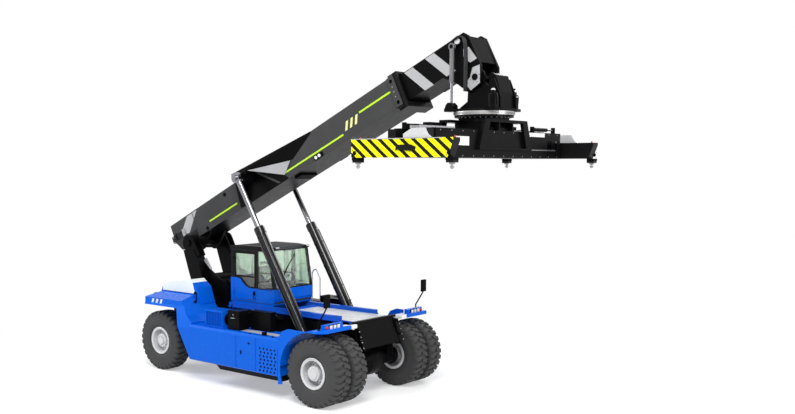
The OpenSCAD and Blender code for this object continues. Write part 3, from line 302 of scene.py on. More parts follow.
class Shape:
    """Collects boxes, plates, rods and tubes into one mesh."""

    def __init__(self):
        self.bm = bmesh.new()

    def box(self, a, b, turn=None):
        got = bmesh.ops.create_cube(self.bm, size=1.0)["verts"]
        a, b = Vector(a), Vector(b)
        size = b - a
        move = Matrix.Translation((a + b) / 2) @ Matrix.Diagonal((abs(size.x), abs(size.y), abs(size.z), 1))
        bmesh.ops.transform(self.bm, matrix=(turn or Matrix()) @ move, verts=got)
        return self

    def slab(self, outline, thick):
        """A flat outline of points in space, thickened by the vector thick."""
        low = [self.bm.verts.new(p) for p in outline]
        high = [self.bm.verts.new(Vector(p) + Vector(thick)) for p in outline]
        n = len(low)
        self.bm.faces.new(low)
        self.bm.faces.new(high[::-1])
        for i in range(n):
            self.bm.faces.new((low[i], high[i], high[(i + 1) % n], low[(i + 1) % n]))
        return self

    def rod(self, a, b, r, r2=None, sides=24):
        a, b = Vector(a), Vector(b)
        got = bmesh.ops.create_cone(self.bm, cap_ends=True, segments=sides, radius1=r,
                                    radius2=r if r2 is None else r2, depth=(b - a).length)["verts"]
        turn = (b - a).to_track_quat("Z", "Y").to_matrix().to_4x4()
        bmesh.ops.transform(self.bm, matrix=Matrix.Translation((a + b) / 2) @ turn, verts=got)
        return self

    def tube(self, points, r, sides=10, rounds=3):
        """A round tube along points, with its corners eased, closed at both ends."""
        path = eased(points, rounds)
        rings, side = [], None
        for i, p in enumerate(path):
            d = (path[min(i + 1, len(path) - 1)] - path[max(i - 1, 0)]).normalized()
            if side is None:
                side = d.orthogonal().normalized()
            side = (side - d * side.dot(d)).normalized()
            other = d.cross(side)
            rings.append([self.bm.verts.new(p + side * a + other * b) for a, b in circle(sides, r)])
        for a, b in zip(rings, rings[1:]):
            for k in range(sides):
                self.bm.faces.new((a[k], a[(k + 1) % sides], b[(k + 1) % sides], b[k]))
        self.bm.faces.new(rings[0][::-1])
        self.bm.faces.new(rings[-1])
        return self

    def sleeve(self, a, b, r_in, r_out, sides=48):
        """A ring round the line from a to b, open along its middle."""
        a, b = Vector(a), Vector(b)
        turn = (b - a).to_track_quat("Z", "Y").to_matrix()
        loops = [[self.bm.verts.new(p + turn @ Vector((c, d, 0))) for c, d in circle(sides, r)]
                 for p, r in ((a, r_in), (a, r_out), (b, r_out), (b, r_in))]
        for near, far in zip(loops, loops[1:] + loops[:1]):
            for k in range(sides):
                self.bm.faces.new((near[k], near[(k + 1) % sides], far[(k + 1) % sides], far[k]))
        return self

    def mesh(self):
        bmesh.ops.recalc_face_normals(self.bm, faces=self.bm.faces)
        m = bpy.data.meshes.new("shape")
        self.bm.to_mesh(m)
        self.bm.free()
        return m


def tree_of(name, inputs):
    """An empty Geometry Nodes tree with a geometry in and out and the named inputs."""
    g = bpy.data.node_groups.new(name, "GeometryNodeTree")
    socket(g, "Geometry", "NodeSocketGeometry", "INPUT")
    for key, kind in inputs:
        socket(g, key, kind, "INPUT")
    socket(g, "Material", "NodeSocketMaterial", "INPUT")
    socket(g, "Geometry", "NodeSocketGeometry", "OUTPUT")
    return g, Wiring(g), g.nodes.new("NodeGroupInput"), g.nodes.new("NodeGroupOutput")


# Repeats one shape round a wheel's axle, which lies along Y through Centre.
ring_tree, w, given, made = tree_of("round_the_axle", [
    ("Count", "NodeSocketInt"), ("Phase", "NodeSocketFloat"), ("Centre", "NodeSocketVector")])
spread = w.node("GeometryNodePoints", None, Count=given.outputs["Count"]).outputs[0]
step = w.math("DIVIDE", math.tau, given.outputs["Count"])
steps = w.math("ADD", w.node("GeometryNodeInputIndex").outputs[0], given.outputs["Phase"])
angle = w.math("MULTIPLY", steps, step)
turn = w.node("ShaderNodeCombineXYZ", None, i1=angle).outputs[0]
copies = w.node("GeometryNodeInstanceOnPoints", None, Points=spread, Instance=given.outputs["Geometry"],
                Rotation=turn).outputs[0]
real = w.node("GeometryNodeRealizeInstances", None, Geometry=copies).outputs[0]
placed = w.node("GeometryNodeTransform", None, Geometry=real,
                Translation=given.outputs["Centre"]).outputs[0]
coloured = w.node("GeometryNodeSetMaterial", None, Geometry=placed,
                  Material=given.outputs["Material"]).outputs[0]
ring_tree.links.new(coloured, made.inputs[0])

# Repeats one shape in rows from Start. Along and Across are the steps, and every other row is set over
# by Stagger. The small lead keeps the division from falling short of a whole row.
rows_tree, w, given, made = tree_of("in_rows", [
    ("Per row", "NodeSocketInt"), ("Rows", "NodeSocketInt"), ("Along", "NodeSocketVector"),
    ("Across", "NodeSocketVector"), ("Stagger", "NodeSocketFloat"), ("Start", "NodeSocketVector")])
small_lead = 0.01
index = w.node("GeometryNodeInputIndex").outputs[0]
row = w.math("FLOOR", w.math("DIVIDE", w.math("ADD", index, small_lead), given.outputs["Per row"]))
column = w.math("SUBTRACT", index, w.math("MULTIPLY", row, given.outputs["Per row"]))
column = w.math("ADD", column, w.math("MULTIPLY", w.math("MODULO", row, 2.0), given.outputs["Stagger"]))
total = w.math("MULTIPLY", given.outputs["Per row"], given.outputs["Rows"])
along = w.scale(given.outputs["Along"], column)
across = w.scale(given.outputs["Across"], row)
spot = w.node("ShaderNodeVectorMath", {"operation": "ADD"}, i0=along, i1=across).outputs[0]
spot = w.node("ShaderNodeVectorMath", {"operation": "ADD"}, i0=spot, i1=given.outputs["Start"]).outputs[0]
spread = w.node("GeometryNodePoints", None, Count=total, Position=spot).outputs[0]
copies = w.node("GeometryNodeInstanceOnPoints", None, Points=spread,
                Instance=given.outputs["Geometry"]).outputs[0]
real = w.node("GeometryNodeRealizeInstances", None, Geometry=copies).outputs[0]
coloured = w.node("GeometryNodeSetMaterial", None, Geometry=real,
                  Material=given.outputs["Material"]).outputs[0]
rows_tree.links.new(coloured, made.inputs[0])


def settled(o):
    """The mesh of an object with its modifiers worked out."""
    return bpy.data.meshes.new_from_object(o.evaluated_get(bpy.context.evaluated_depsgraph_get()))


def repeated(name, seed, tree, values, material, body, bevel=0.0, smooth=False):
    """Runs a tree on a seed mesh and keeps the result as a plain piece."""
    maker = bpy.data.objects.new("maker", seed)
    scene.collection.objects.link(maker)
    run = maker.modifiers.new("repeat", "NODES")
    run.node_group = tree
    values = dict(values, Material=material)
    for item in tree.interface.items_tree:
        if item.in_out == "INPUT" and item.name in values:
            run[item.identifier] = values[item.name]
    mesh = settled(maker)
    bpy.data.objects.remove(maker)
    bpy.data.meshes.remove(seed)
    return piece(name, mesh, material, body, bevel, smooth)


def hexagon(a, b, r):
    """A bolt head from a to b."""
    return Shape().rod(a, b, r, sides=6).mesh()


# ---- Hood, tanks and mudguards
# Folded and welded sheet steel in gloss blue, with a white hood lid, a black sill under the tanks and
# bolted covers. A filler neck and lifting bosses stand on each tank.
blue_colour = (0.001, 0.124, 0.71)
white_colour = (0.93, 0.98, 0.95)
lid_low, lid_rear, lid_front = 2.15, -6.12, -4.80
sill_top = 0.598
both_sides = ((1, "left"), (-1, "right"))


def coordinates(t):
    """Object coordinates of the piece, apart, with X measured from the drive axle."""
    apart = t.node("ShaderNodeSeparateXYZ", None, i0=t.node("ShaderNodeTexCoord").outputs["Object"]).outputs
    return t.math("SUBTRACT", apart[0], axle_x), apart[1], apart[2]


def all_true(t, *masks):
    """1 where every mask is 1."""
    total = masks[0]
    for m in masks[1:]:
        total = t.math("MULTIPLY", total, m)
    return total


def two_tone(name, colour, other, mask_of, rough=0.26, dust=0.004, mottle=0.06, peel=70.0, coat=0.08,
             shine=0.06, other_rough=None):
    """Two colours parted by a mask that is worked out from the place on the piece: sprayed two-tone paint,
    and on the boom a painted shade on its underside.
    """
    m = painted(name, colour, rough, dust, mottle, peel, coat, 0.0, shine)
    t = Wiring(m.node_tree)
    group = next(n for n in m.node_tree.nodes if n.type == "GROUP")
    mask = mask_of(t, *coordinates(t))
    m.node_tree.links.new(t.blend("MIX", mask, (*colour, 1), (*other, 1)), group.inputs["Paint"])
    if other_rough is not None:
        m.node_tree.links.new(t.remap(mask, 0.0, 1.0, rough, other_rough), group.inputs["Roughness"])
    return m


bright_blue = painted("bright_blue_paint", blue_colour, 0.24, 0.004, 0.06, 70, 0.08, 0.0, 0.06)
# the light grey also serves as a painted highlight on the saddle and on the boom towers
grey_paint_and_highlight = painted("light_grey_paint_and_highlight", (0.42, 0.42, 0.43), 0.34, 0.05, 0.15, 80, 0.1, 0.0, 0.4)
signal_white = painted("signal_white_paint", (0.80, 0.80, 0.79), 0.3, 0.04, 0.08, 80, 0.2, 0.0, 0.4)
lime = painted("lime_paint", (0.52, 0.86, 0.004), 0.32, 0.02, 0.08, 80, 0.2, 0.0, 0.3)
wheel_silver = painted("wheel_silver_paint", (0.66, 0.66, 0.67), 0.34, 0.05, 0.12, 60, 0.1, 0.1, 0.4)
raw_steel = painted("machined_steel", (0.36, 0.36, 0.38), 0.3, 0.05, 0.3, 140, 0.0, 0.85)
cast_grey = painted("cast_iron_grey", (0.05, 0.05, 0.053), 0.55, 0.08, 0.3, 40, 0.0, 0.0, 0.3)


def lid_mask(t, x, y, z):
    """1 on the white lid, whose front edge leans back as it rises."""
    slope = t.math("MULTIPLY_ADD", t.math("SUBTRACT", z, lid_low), -0.35, lid_front)
    return all_true(t, t.math("GREATER_THAN", z, lid_low), t.math("GREATER_THAN", x, lid_rear),
                    t.math("LESS_THAN", x, slope))


def sill_mask(t, x, y, z):
    """1 on the black sill."""
    return t.math("LESS_THAN", z, sill_top)


def lip_mask(t, x, y, z):
    """1 on the pale corner of each mudguard top, inside a line that slants towards the front."""
    return all_true(t, t.math("LESS_THAN", t.math("MULTIPLY_ADD", x, 0.9, t.math("ABSOLUTE", y)), 1.42),
                    t.math("GREATER_THAN", x, 0.02), t.math("GREATER_THAN", z, 1.7))


finish_node(two_tone("hood_paint", blue_colour, white_colour, lid_mask), "rear_hood")
finish_node(two_tone("tank_paint", blue_colour, (0.005, 0.006, 0.009), sill_mask), "side_tanks")
finish_node(two_tone("mudguard_paint", blue_colour, (0.88, 0.90, 0.92), lip_mask), "front_fenders")
finish_node(cast_grey, "engine_block", "steer_knuckle_left", "steer_knuckle_right")
finish_node(wheel_silver, "front_rims_left", "front_rims_right", "rear_rim_left", "rear_rim_right")

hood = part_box("rear_hood")
hood_rear = hood[0][0] - axle_x
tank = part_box("side_tanks")
tank_front, tank_out, tank_top = tank[1][0] - axle_x, tank[1][1], 1.5003
lid_side, flank, skin = 1.3105, 1.8705, 0.0016

fittings, seams, white_bars = Shape(), Shape(), Shape()
for s in (1, -1):
    # filler neck with its cap, and two lifting bosses, on each tank
    fittings.rod(at(-1.62, s * 1.93, tank_top), at(-1.62, s * 1.93, tank_top + 0.05), 0.062, 0.058, 20)
    fittings.rod(at(-1.62, s * 1.93, tank_top + 0.05), at(-1.62, s * 1.93, tank_top + 0.075),
                 0.07, 0.064, 12)
    for x in (-2.05, -1.28):
        fittings.rod(at(x, s * 1.99, tank_top), at(x, s * 1.99, tank_top + 0.022), 0.03, 0.026, 16)
    # lock and latch on the tank's side
    fittings.box(at(-2.28, s * tank_out, 0.99), at(-2.25, s * (tank_out + 0.012), 1.08))
    fittings.box(at(-2.02, s * tank_out, 1.27), at(-1.96, s * (tank_out + 0.012), 1.30))
    # grab handle between its two brackets, and the dark gaps between the panels
    fittings.tube([at(-4.63, s * 1.45, 2.20), at(-4.58, s * 1.46, 2.20), at(-4.58, s * 1.46, 1.99),
                   at(-4.63, s * 1.45, 1.99)], 0.012)
    fittings.box(at(-4.66, s * 1.43, 2.17), at(-4.60, s * 1.48, 2.24))
    fittings.box(at(-4.66, s * 1.43, 1.95), at(-4.60, s * 1.48, 2.01))
    seams.box(at(-2.45, s * tank_out, 0.64), at(-2.446, s * (tank_out + skin), 1.44))
    seams.box(at(-1.76, s * tank_out, 0.64), at(-1.756, s * (tank_out + skin), 1.44))
    seams.box(at(hood_rear + 0.10, s * lid_side, 2.148), at(-4.70, s * (lid_side + skin), 2.160))
    # three plain white bars on the rear flank
    for k in range(3):
        x = hood_rear + 0.26 + 0.17 * k
        white_bars.slab([at(x, s * flank, 1.88), at(x + 0.075, s * flank, 1.88),
                         at(x + 0.125, s * flank, 2.005), at(x + 0.05, s * flank, 2.005)],
                        (0, s * skin, 0))
piece("tank_fittings", fittings.mesh(), deep_black_and_shade, "chassis", 0.003)
piece("panel_gaps", seams.mesh(), deep_black_and_shade, "chassis")
piece("flank_bars", white_bars.mesh(), signal_white, "chassis")

for s, word in both_sides:
    repeated("tank_bolts_" + word, hexagon((0, s * tank_out, 0), (0, s * (tank_out + 0.007), 0), 0.011),
             rows_tree, {"Per row": 2, "Rows": 7, "Along": (0.64, 0, 0), "Across": (0, 0, 0.12),
                         "Start": at(-2.42, 0, 0.68)}, bright_blue, "chassis")
    repeated("hood_bolts_" + word, hexagon((0, s * 1.87, 0), (0, s * 1.878, 0), 0.011), rows_tree,
             {"Per row": 6, "Rows": 1, "Along": (0.17, 0, 0), "Across": (0, 0, 0.1),
              "Start": at(hood_rear + 0.9, 0, 1.87)}, bright_blue, "chassis")
    # painted shade: black bottoms in the shallow slots of the step plate, for the dark space behind its
    # openings
    slot = hexagon((0, s * (tank_out - 0.0078), 0), (0, s * (tank_out - 0.001), 0), 0.034)
    repeated("step_slot_shade_" + word, slot, rows_tree,
             {"Per row": 5, "Rows": 7, "Along": (0.12, 0, 0), "Across": (0, 0, 0.088), "Stagger": 0.25,
              "Start": at(tank_front - 0.590, 0, 0.685)}, deep_black_and_shade, "chassis")
    # tread plate on the tank's top: rows of small raised lozenges, every other row set over
    stud = Shape().slab([Vector((0.021, 0, 0)), Vector((0, 0.007, 0)), Vector((-0.021, 0, 0)),
                         Vector((0, -0.007, 0))], (0, 0, 0.0035)).mesh()
    repeated("tread_" + word, stud, rows_tree,
             {"Per row": 36, "Rows": 10, "Along": (0.07, 0, 0), "Across": (0, 0.045, 0), "Stagger": 0.5,
              "Start": at(-4.05, s * 1.80 - 0.20, tank_top - 0.0005)}, bright_blue, "chassis")

# pale non-slip plates let into the tank tops beside the lift cylinders
plates = Shape()
for s in (1, -1):
    plates.slab([at(x, s * y, tank_top) for x, y in
                 ((-2.50, 1.62), (-1.30, 1.62), (-1.08, 1.70), (-1.30, 1.86), (-2.50, 1.86))],
                (0, 0, 0.004))
grit = painted("grit_coated_plate", (0.42, 0.43, 0.47), 0.5, 0.25, 0.3, 160, 0.0, 0.0, 0.3)
piece("tank_top_plates", plates.mesh(), grit, "chassis", 0.001)

# ---- Lamps and mirrors
# Three square work lamps with clear lenses in the front of each mudguard, one red lamp at its outer
# end, and a mirror glass in each black head.
lens_white = painted("lamp_lens", (0.86, 0.87, 0.84), 0.12, 0.02, 0.06, 200, 0.8, 0.0, 0.6)
lens_red = painted("red_lens", (0.62, 0.01, 0.008), 0.14, 0.02, 0.06, 200, 0.8, 0.0, 0.6)
housings, lenses, reds = Shape(), Shape(), Shape()
for s in (1, -1):
    for k in range(3):
        y = s * (1.70 - 0.13 * k)
        housings.box(at(0.262, y - 0.055, 1.825), at(0.292, y + 0.055, 1.925))
        lenses.box(at(0.288, y - 0.046, 1.834), at(0.300, y + 0.046, 1.916))
    reds.rod(at(0.262, s * 1.83, 1.872), at(0.296, s * 1.83, 1.872), 0.04, 0.034, 20)
piece("lamp_housings", housings.mesh(), deep_black_and_shade, "chassis", 0.004)
piece("lamp_lenses", lenses.mesh(), lens_white, "chassis", 0.006)
piece("red_lamps", reds.mesh(), lens_red, "chassis", 0.004)
mirror_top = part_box("mirrors")[1][2]
finish_node(deep_black_and_shade, "mirrors")
silvered = painted("mirror_glass", (0.75, 0.78, 0.80), 0.06, 0.04, 0.03, 60, 0.0, 1.0)
panes = Shape()
for s in (1, -1):
    panes.box(at(0.2955, s * 1.88 - 0.066, mirror_top - 0.285),
              at(0.2985, s * 1.88 + 0.066, mirror_top - 0.035))
piece("mirror_panes", panes.mesh(), silvered, "chassis", 0.001)

# ---- Deck and guard rails
# Blue box-section rails for the sliding cab, their blue darker than the other blue paint as a painted
# shade, pale ribbed plates between them ahead of the cab, and bent tube handrails in silver paint by the
# driver's door.


def deck_mask(t, x, y, z):
    """1 on the pale plate between the rails."""
    return all_true(t, t.math("GREATER_THAN", x, -2.2), t.math("GREATER_THAN", z, 1.835),
                    t.math("LESS_THAN", z, 1.86), t.math("LESS_THAN", t.math("ABSOLUTE", y), 0.6395))


# painted shade: the rails' blue is darker than the blue elsewhere
finish_node(two_tone("deck_paint_and_shade", (0.009, 0.10, 0.58), (0.72, 0.73, 0.74), deck_mask), "deck")
finish_node(wheel_silver, "handrails")
rib = Shape().box((-0.012, -0.58, 0), (0.012, 0.58, 0.006)).mesh()
repeated("deck_ribs", rib, rows_tree,
         {"Per row": 17, "Rows": 1, "Along": (0.115, 0, 0), "Start": at(-2.08, 0, 1.85)},
         painted("pale_deck_plate", (0.70, 0.71, 0.72), 0.4, 0.1, 0.15, 120, 0.0, 0.0, 0.35),
         "chassis", 0.002)
feet = Shape()
foot_z = 1.5
for x in (-3.85, -3.33, -3.26, -2.97):
    feet.rod(at(x, 1.62, foot_z), at(x, 1.62, foot_z + 0.012), 0.045, sides=20)
piece("handrail_feet", feet.mesh(), wheel_silver, "chassis", 0.002)

# ---- Condenser, cabinets and chassis fittings
# A blue condenser box with wire mesh over its louvres and a fan in its end, black cabinets with lids,
# the hydraulic lines that run forward along the frame, and the bolts of the heavy plates.
finish_node(bright_blue, "condenser")
box_low, box_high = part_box("condenser")
frames, fan = Shape(), Shape()
x0, x1 = box_low[0] + 0.03, box_high[0] - 0.03
z0, z1 = box_low[2] + 0.04, box_high[2] - 0.04
y = box_low[1] - 0.004
wire = Shape().rod((0, y, z0), (0, y, z1), 0.0025, sides=6).mesh()
repeated("condenser_mesh_upright", wire, rows_tree,
         {"Per row": 27, "Rows": 1, "Along": ((x1 - x0) / 26, 0, 0), "Start": (x0, 0, 0)},
         bright_blue, "chassis")
wire = Shape().rod((x0, y - 0.003, 0), (x1, y - 0.003, 0), 0.0025, sides=6).mesh()
repeated("condenser_mesh_level", wire, rows_tree,
         {"Per row": 1, "Rows": 17, "Across": (0, 0, (z1 - z0) / 16), "Start": (0, 0, z0)},
         bright_blue, "chassis")
edge = 0.02
for left, right, low, high in ((x0 - edge, x1 + edge, z0 - edge, z0), (x0 - edge, x1 + edge, z1, z1 + edge),
                               (x0 - edge, x0, z0, z1), (x1, x1 + edge, z0, z1)):
    frames.box((left, y - 0.008, low), (right, y + 0.004, high))
piece("condenser_frame", frames.mesh(), bright_blue, "chassis", 0.002)
end, fan_y, fan_z = box_high[0], -1.76, 1.72
blades = 9
sweep = 0.5 * blades / math.tau
fan.rod((end, fan_y, fan_z), (end + 0.006, fan_y, fan_z), 0.15, sides=40)
fan.rod((end + 0.006, fan_y, fan_z), (end + 0.02, fan_y, fan_z), 0.05, 0.04, 24)
for (a, b), (c, d) in zip(circle(blades, 0.045), circle(blades, 0.145, sweep)):
    fan.rod((end + 0.01, fan_y + a, fan_z + b), (end + 0.01, fan_y + c, fan_z + d), 0.005, sides=6)
piece("condenser_fan", fan.mesh(), deep_black_and_shade, "chassis", 0.001)

lids, handles, lines, clamps = Shape(), Shape(), Shape(), Shape()
for s in (1, -1):
    lids.box(at(-2.93, s * 1.55, 1.96), at(-2.51, s * 1.91, 1.978))
    lids.box(at(-2.49, s * 1.34, 1.96), at(-1.79, s * 1.55, 1.978))
    handles.tube([at(-2.80, s * 1.90, 1.80), at(-2.80, s * 1.925, 1.80), at(-2.64, s * 1.925, 1.80),
                  at(-2.64, s * 1.90, 1.80)], 0.006)
    handles.rod(at(-2.72, s * 1.90, 1.88), at(-2.72, s * 1.912, 1.88), 0.018, sides=16)
    for k in range(4):
        y = s * (0.83 + 0.045 * k)
        lines.tube([at(-4.22, s * 0.40, 2.05 + 0.05 * k), at(-4.02, s * 0.44, 2.0 + 0.05 * k),
                    at(-3.98, s * 0.86, 1.78), at(-3.7, y, 1.775), at(-2.6, y, 1.775), at(-2.12, y, 1.775),
                    at(-2.05, y, 1.70)], 0.014)
    for x in (-3.5, -2.9, -2.3):
        clamps.box(at(x, s * 0.81, 1.75), at(x + 0.04, s * 0.99, 1.795))
piece("cabinet_lids", lids.mesh(), black_paint_and_shade, "chassis", 0.006)
piece("cabinet_handles", handles.mesh(), raw_steel, "chassis")
piece("frame_lines", lines.mesh(), deep_black_and_shade, "chassis", smooth=True)
piece("line_clamps", clamps.mesh(), raw_steel, "chassis", 0.003)

# bolts round the axle housing, down the front cheeks and across the counterweight
axle_z = joint["left_drive_spin"]["pos_m"][2]
axle_bolt = hexagon((0.30, 0.0, 0), (0.30, 0.024, 0), 0.014)
repeated("axle_housing_bolts", axle_bolt, ring_tree,
         {"Count": 16, "Phase": 0.0, "Centre": (axle_x, 0.10, axle_z)}, raw_steel, "chassis")
cheek_bolts = Shape()
for s in (1, -1):
    for k in range(5):
        z = 1.78 - 0.125 * k
        x = 0.262 + 0.20 * (1.84 - z) / 0.6 + (0.05 if k else 0)
        cheek_bolts.rod(at(x, s * 0.772, z), at(x, s * 0.792, z), 0.017, sides=6)
piece("cheek_bolts", cheek_bolts.mesh(), raw_steel, "chassis", 0.001)
weight_bolts = hexagon((0, 0, 0), (-0.02, 0, 0), 0.03)
repeated("counterweight_bolts", weight_bolts, rows_tree,
         {"Per row": 4, "Rows": 1, "Along": (0, 0.6, 0), "Start": at(-6.675, -0.9, 1.88)},
         raw_steel, "chassis")

# ---- Tyres
# Bias-ply port tyres: deep staggered shoulder lugs on a smooth round casing, with a moulded
# rim line and a bead flange. Black rubber, greyed by dust in the tread.
tyre_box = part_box("rear_tyre_right")
tyre_r = (tyre_box[1][2] - tyre_box[0][2]) / 2
tyre_half = (tyre_box[1][1] - tyre_box[0][1]) / 2
rim_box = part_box("rear_rim_right")
rim_r = (rim_box[1][2] - rim_box[0][2]) / 2
lug_deep = 0.036
lugs = 30

rubber = painted("tyre_rubber", (0.034, 0.034, 0.035), 0.74, 0.5, 0.35, 150, 0.0, 0.0, 0.5, 0.3,
                 (0.13, 0.125, 0.12))


def casing(centre_y, x, z):
    """The tyre without its lugs, turned round the axle."""
    r0, h = tyre_r - lug_deep, tyre_half
    half = [(rim_r - 0.036, h * 0.71), (rim_r + 0.012, h * 0.79), (rim_r + 0.03, h * 0.81),
            (rim_r + 0.035, h * 0.86), (rim_r + 0.09, h * 0.945), (tyre_r * 0.68, h * 0.985),
            (tyre_r * 0.70, h * 0.972), (tyre_r * 0.80, h * 0.97), (tyre_r * 0.87, h * 0.945),
            (tyre_r * 0.925, h * 0.88), (r0 - 0.012, h * 0.72), (r0, h * 0.45), (r0 + 0.004, 0)]
    outline = half + [(r, -y) for r, y in half[-2::-1]]
    rings = []
    around = 120
    carcass = Shape()
    bm = carcass.bm
    for a, b in circle(around, 1.0):
        rings.append([bm.verts.new((x + r * a, centre_y + y, z + r * b)) for r, y in outline])
    for a, b in zip(rings, rings[1:] + rings[:1]):
        for i in range(len(outline) - 1):
            bm.faces.new((a[i], a[i + 1], b[i + 1], b[i]))
        bm.faces.new((a[-1], a[0], b[0], b[-1]))
    return carcass.mesh()


def lug(side):
    """One shoulder lug: wide at the shoulder, narrowing and bending towards the middle of the tread.

    Its foot flares and is sunk into the casing.
    """
    h = tyre_half
    pitch = math.tau / lugs
    rows = [(0.02 * h, 0.24, 0.00, 0.0), (0.30 * h, 0.25, 0.02, 0.0), (0.58 * h, 0.28, 0.20, 0.0),
            (0.80 * h, 0.31, 0.24, 0.006), (0.92 * h, 0.31, 0.25, 0.035), (0.985 * h, 0.28, 0.25, 0.10)]
    flare, sunk = 0.12, 0.014
    block = Shape()
    bm = block.bm
    tops, feet = [], []
    for y, wide, lean, drop in rows:
        for k, store in ((0, tops), (1, feet)):
            r = tyre_r - 0.001 - drop - (lug_deep + sunk) * k
            yy = (y - (sunk if k and y > 0.7 * h else 0)) * side
            store.append([bm.verts.new((r * math.sin(t), yy, r * math.cos(t))) for t in
                          ((lean - wide * (1 + flare * k)) * pitch, lean * pitch,
                           (lean + wide * (1 + flare * k)) * pitch)])
    for i in range(len(rows) - 1):
        for k in range(2):
            bm.faces.new((tops[i][k], tops[i][k + 1], tops[i + 1][k + 1], tops[i + 1][k]))
            bm.faces.new((feet[i][k], feet[i + 1][k], feet[i + 1][k + 1], feet[i][k + 1]))
        for k in (0, 2):
            bm.faces.new((tops[i][k], tops[i + 1][k], feet[i + 1][k], feet[i][k]))
    for i in (0, len(rows) - 1):
        for k in range(2):
            bm.faces.new((tops[i][k], tops[i][k + 1], feet[i][k + 1], feet[i][k]))
    return block.mesh()


def tyre(name, x, y, z, body, stands_for):
    """A casing and its two rows of lugs, in the place of a CAD tyre."""
    smooth = piece(name + "_casing", casing(y, x, z), rubber, body, smooth=True)
    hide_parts(stands_for)
    for side, phase in ((1, 0.0), (-1, 0.5)):
        repeated("%s_lugs_%s" % (name, "left" if side > 0 else "right"), lug(side), ring_tree,
                 {"Count": lugs, "Phase": phase, "Centre": (x, y, z)}, rubber, body)


steer_centre = Vector(joint["left_steered_spin"]["pos_m"])
for side, word in both_sides:
    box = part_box("front_tyres_" + word)
    inner_y = min(abs(box[0][1]), abs(box[1][1])) + tyre_half
    outer_y = max(abs(box[0][1]), abs(box[1][1])) - tyre_half
    for name, y in (("inner_drive_tyre_", inner_y), ("outer_drive_tyre_", outer_y)):
        tyre(name + word, axle_x, side * y, tyre_r, word + "_drive_wheels", "front_tyres_" + word)
    tyre("steered_tyre_" + word, steer_centre.x, side * steer_centre.y, tyre_r, word + "_steered_wheel",
         "rear_tyre_" + word)

# ---- Wheels
# Multi-piece rims in silver paint: a lock ring on the outside, a ring of wheel nuts on the disc and a
# hub with its cover bolts.


def wheel_trim(name, side, x, y, body, hub_y, nut_y):
    """The lock ring, wheel nuts and hub cover bolts of the wheel whose tyre is at x and y."""
    ring_r, around, nut_r, bolt_r = rim_r - 0.018, 72, 0.225, 0.11
    profile = ((-0.014, -0.004), (0.012, -0.004), (0.014, 0.008), (0.0, 0.016), (-0.014, 0.008))
    lock = Shape()
    rings = []
    for a, b in circle(around, ring_r):
        p = Vector((x + a, side * (y + tyre_half * 0.83), tyre_r + b))
        outward = (p - Vector((x, p.y, tyre_r))).normalized()
        rings.append([lock.bm.verts.new(p + outward * a + Vector((0, side * b, 0))) for a, b in profile])
    n = len(profile)
    for a, b in zip(rings, rings[1:] + rings[:1]):
        for k in range(n):
            lock.bm.faces.new((a[k], a[(k + 1) % n], b[(k + 1) % n], b[k]))
    piece(name + "_lock_ring", lock.mesh(), wheel_silver, body, smooth=True)
    nut = hexagon((nut_r, side * (nut_y - 0.03), 0), (nut_r, side * (nut_y + 0.028), 0), 0.019)
    repeated(name + "_nuts", nut, ring_tree, {"Count": 16, "Phase": 0.25, "Centre": (x, 0, tyre_r)},
             raw_steel, body)
    bolt = hexagon((bolt_r, side * (hub_y - 0.01), 0), (bolt_r, side * (hub_y + 0.014), 0), 0.013)
    repeated(name + "_cover_bolts", bolt, ring_tree, {"Count": 10, "Phase": 0.0, "Centre": (x, 0, tyre_r)},
             raw_steel, body)


def hub_face(rim_name):
    """How far out the flat end of a hub lies."""
    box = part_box(rim_name)
    return max(abs(box[0][1]), abs(box[1][1])) - 0.02


for side, word in both_sides:
    wheel_trim("drive_" + word, side, axle_x, outer_y, word + "_drive_wheels",
               hub_face("front_rims_" + word), outer_y + 0.02)
    wheel_trim("steered_" + word, side, steer_centre.x, steer_centre.y, word + "_steered_wheel",
               hub_face("rear_rim_" + word), steer_centre.y + 0.09)

# ---- Lift cylinders
# Two long double-acting cylinders: enamelled barrels with two pressure lines clipped along each, a
# bolted gland at the mouth, and ground chrome rods.
gloss_black = painted("gloss_black_enamel", (0.005, 0.005, 0.0055), 0.14, 0.004, 0.2, 18, 0.12, 0.0, 0.3)
chrome = painted("ground_chrome", (0.27, 0.27, 0.29), 0.15, 0.0, 0.12, 18, 0.0, 1.0)
finish_node(gloss_black, "lift_barrel_left", "lift_barrel_right")
finish_node(chrome, "lift_rod_left", "lift_rod_right", "damper_rods")
eye_r, rod_r, barrel_r, barrel_len = 0.135, 0.08, 0.125, 3.12
for s, word in both_sides:
    foot = Vector(joint[word + "_cylinder_lean"]["pos_m"])
    rod_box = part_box("lift_rod_" + word)
    eye = Vector((rod_box[0][0] + eye_r, foot.y, rod_box[1][2] - eye_r))
    up = (eye - foot).normalized()
    out_y = Vector((0, s, 0))
    ahead = out_y.cross(up) * s
    line, bands, screws = Shape(), Shape(), Shape()
    for way in (0.75, -0.2):
        lean = (out_y * 0.55 + ahead * way).normalized() * (barrel_r + 0.026)
        line.tube([foot + up * 0.30 + lean * 0.7, foot + up * 0.40 + lean, foot + up * 2.86 + lean,
                   foot + up * 2.93 + lean * 0.85], 0.015)
    for t in (0.62, 1.25, 1.9, 2.55):
        bands.sleeve(foot + up * t, foot + up * (t + 0.035), barrel_r - 0.002, barrel_r + 0.006)
    gland = foot + up * barrel_len
    bands.sleeve(gland + up * 0.0005, gland + up * 0.02, rod_r + 0.004, barrel_r + 0.006)
    for a, b in circle(12, 0.108):
        p = gland + out_y * a + ahead * b
        screws.rod(p + up * 0.018, p + up * 0.036, 0.012, sides=6)
    piece("pressure_lines_" + word, line.mesh(), gloss_black, word + "_lift_barrel", smooth=True)
    piece("barrel_bands_" + word, bands.mesh(), gloss_black, word + "_lift_barrel", 0.003)
    piece("gland_screws_" + word, screws.mesh(), raw_steel, word + "_lift_barrel")

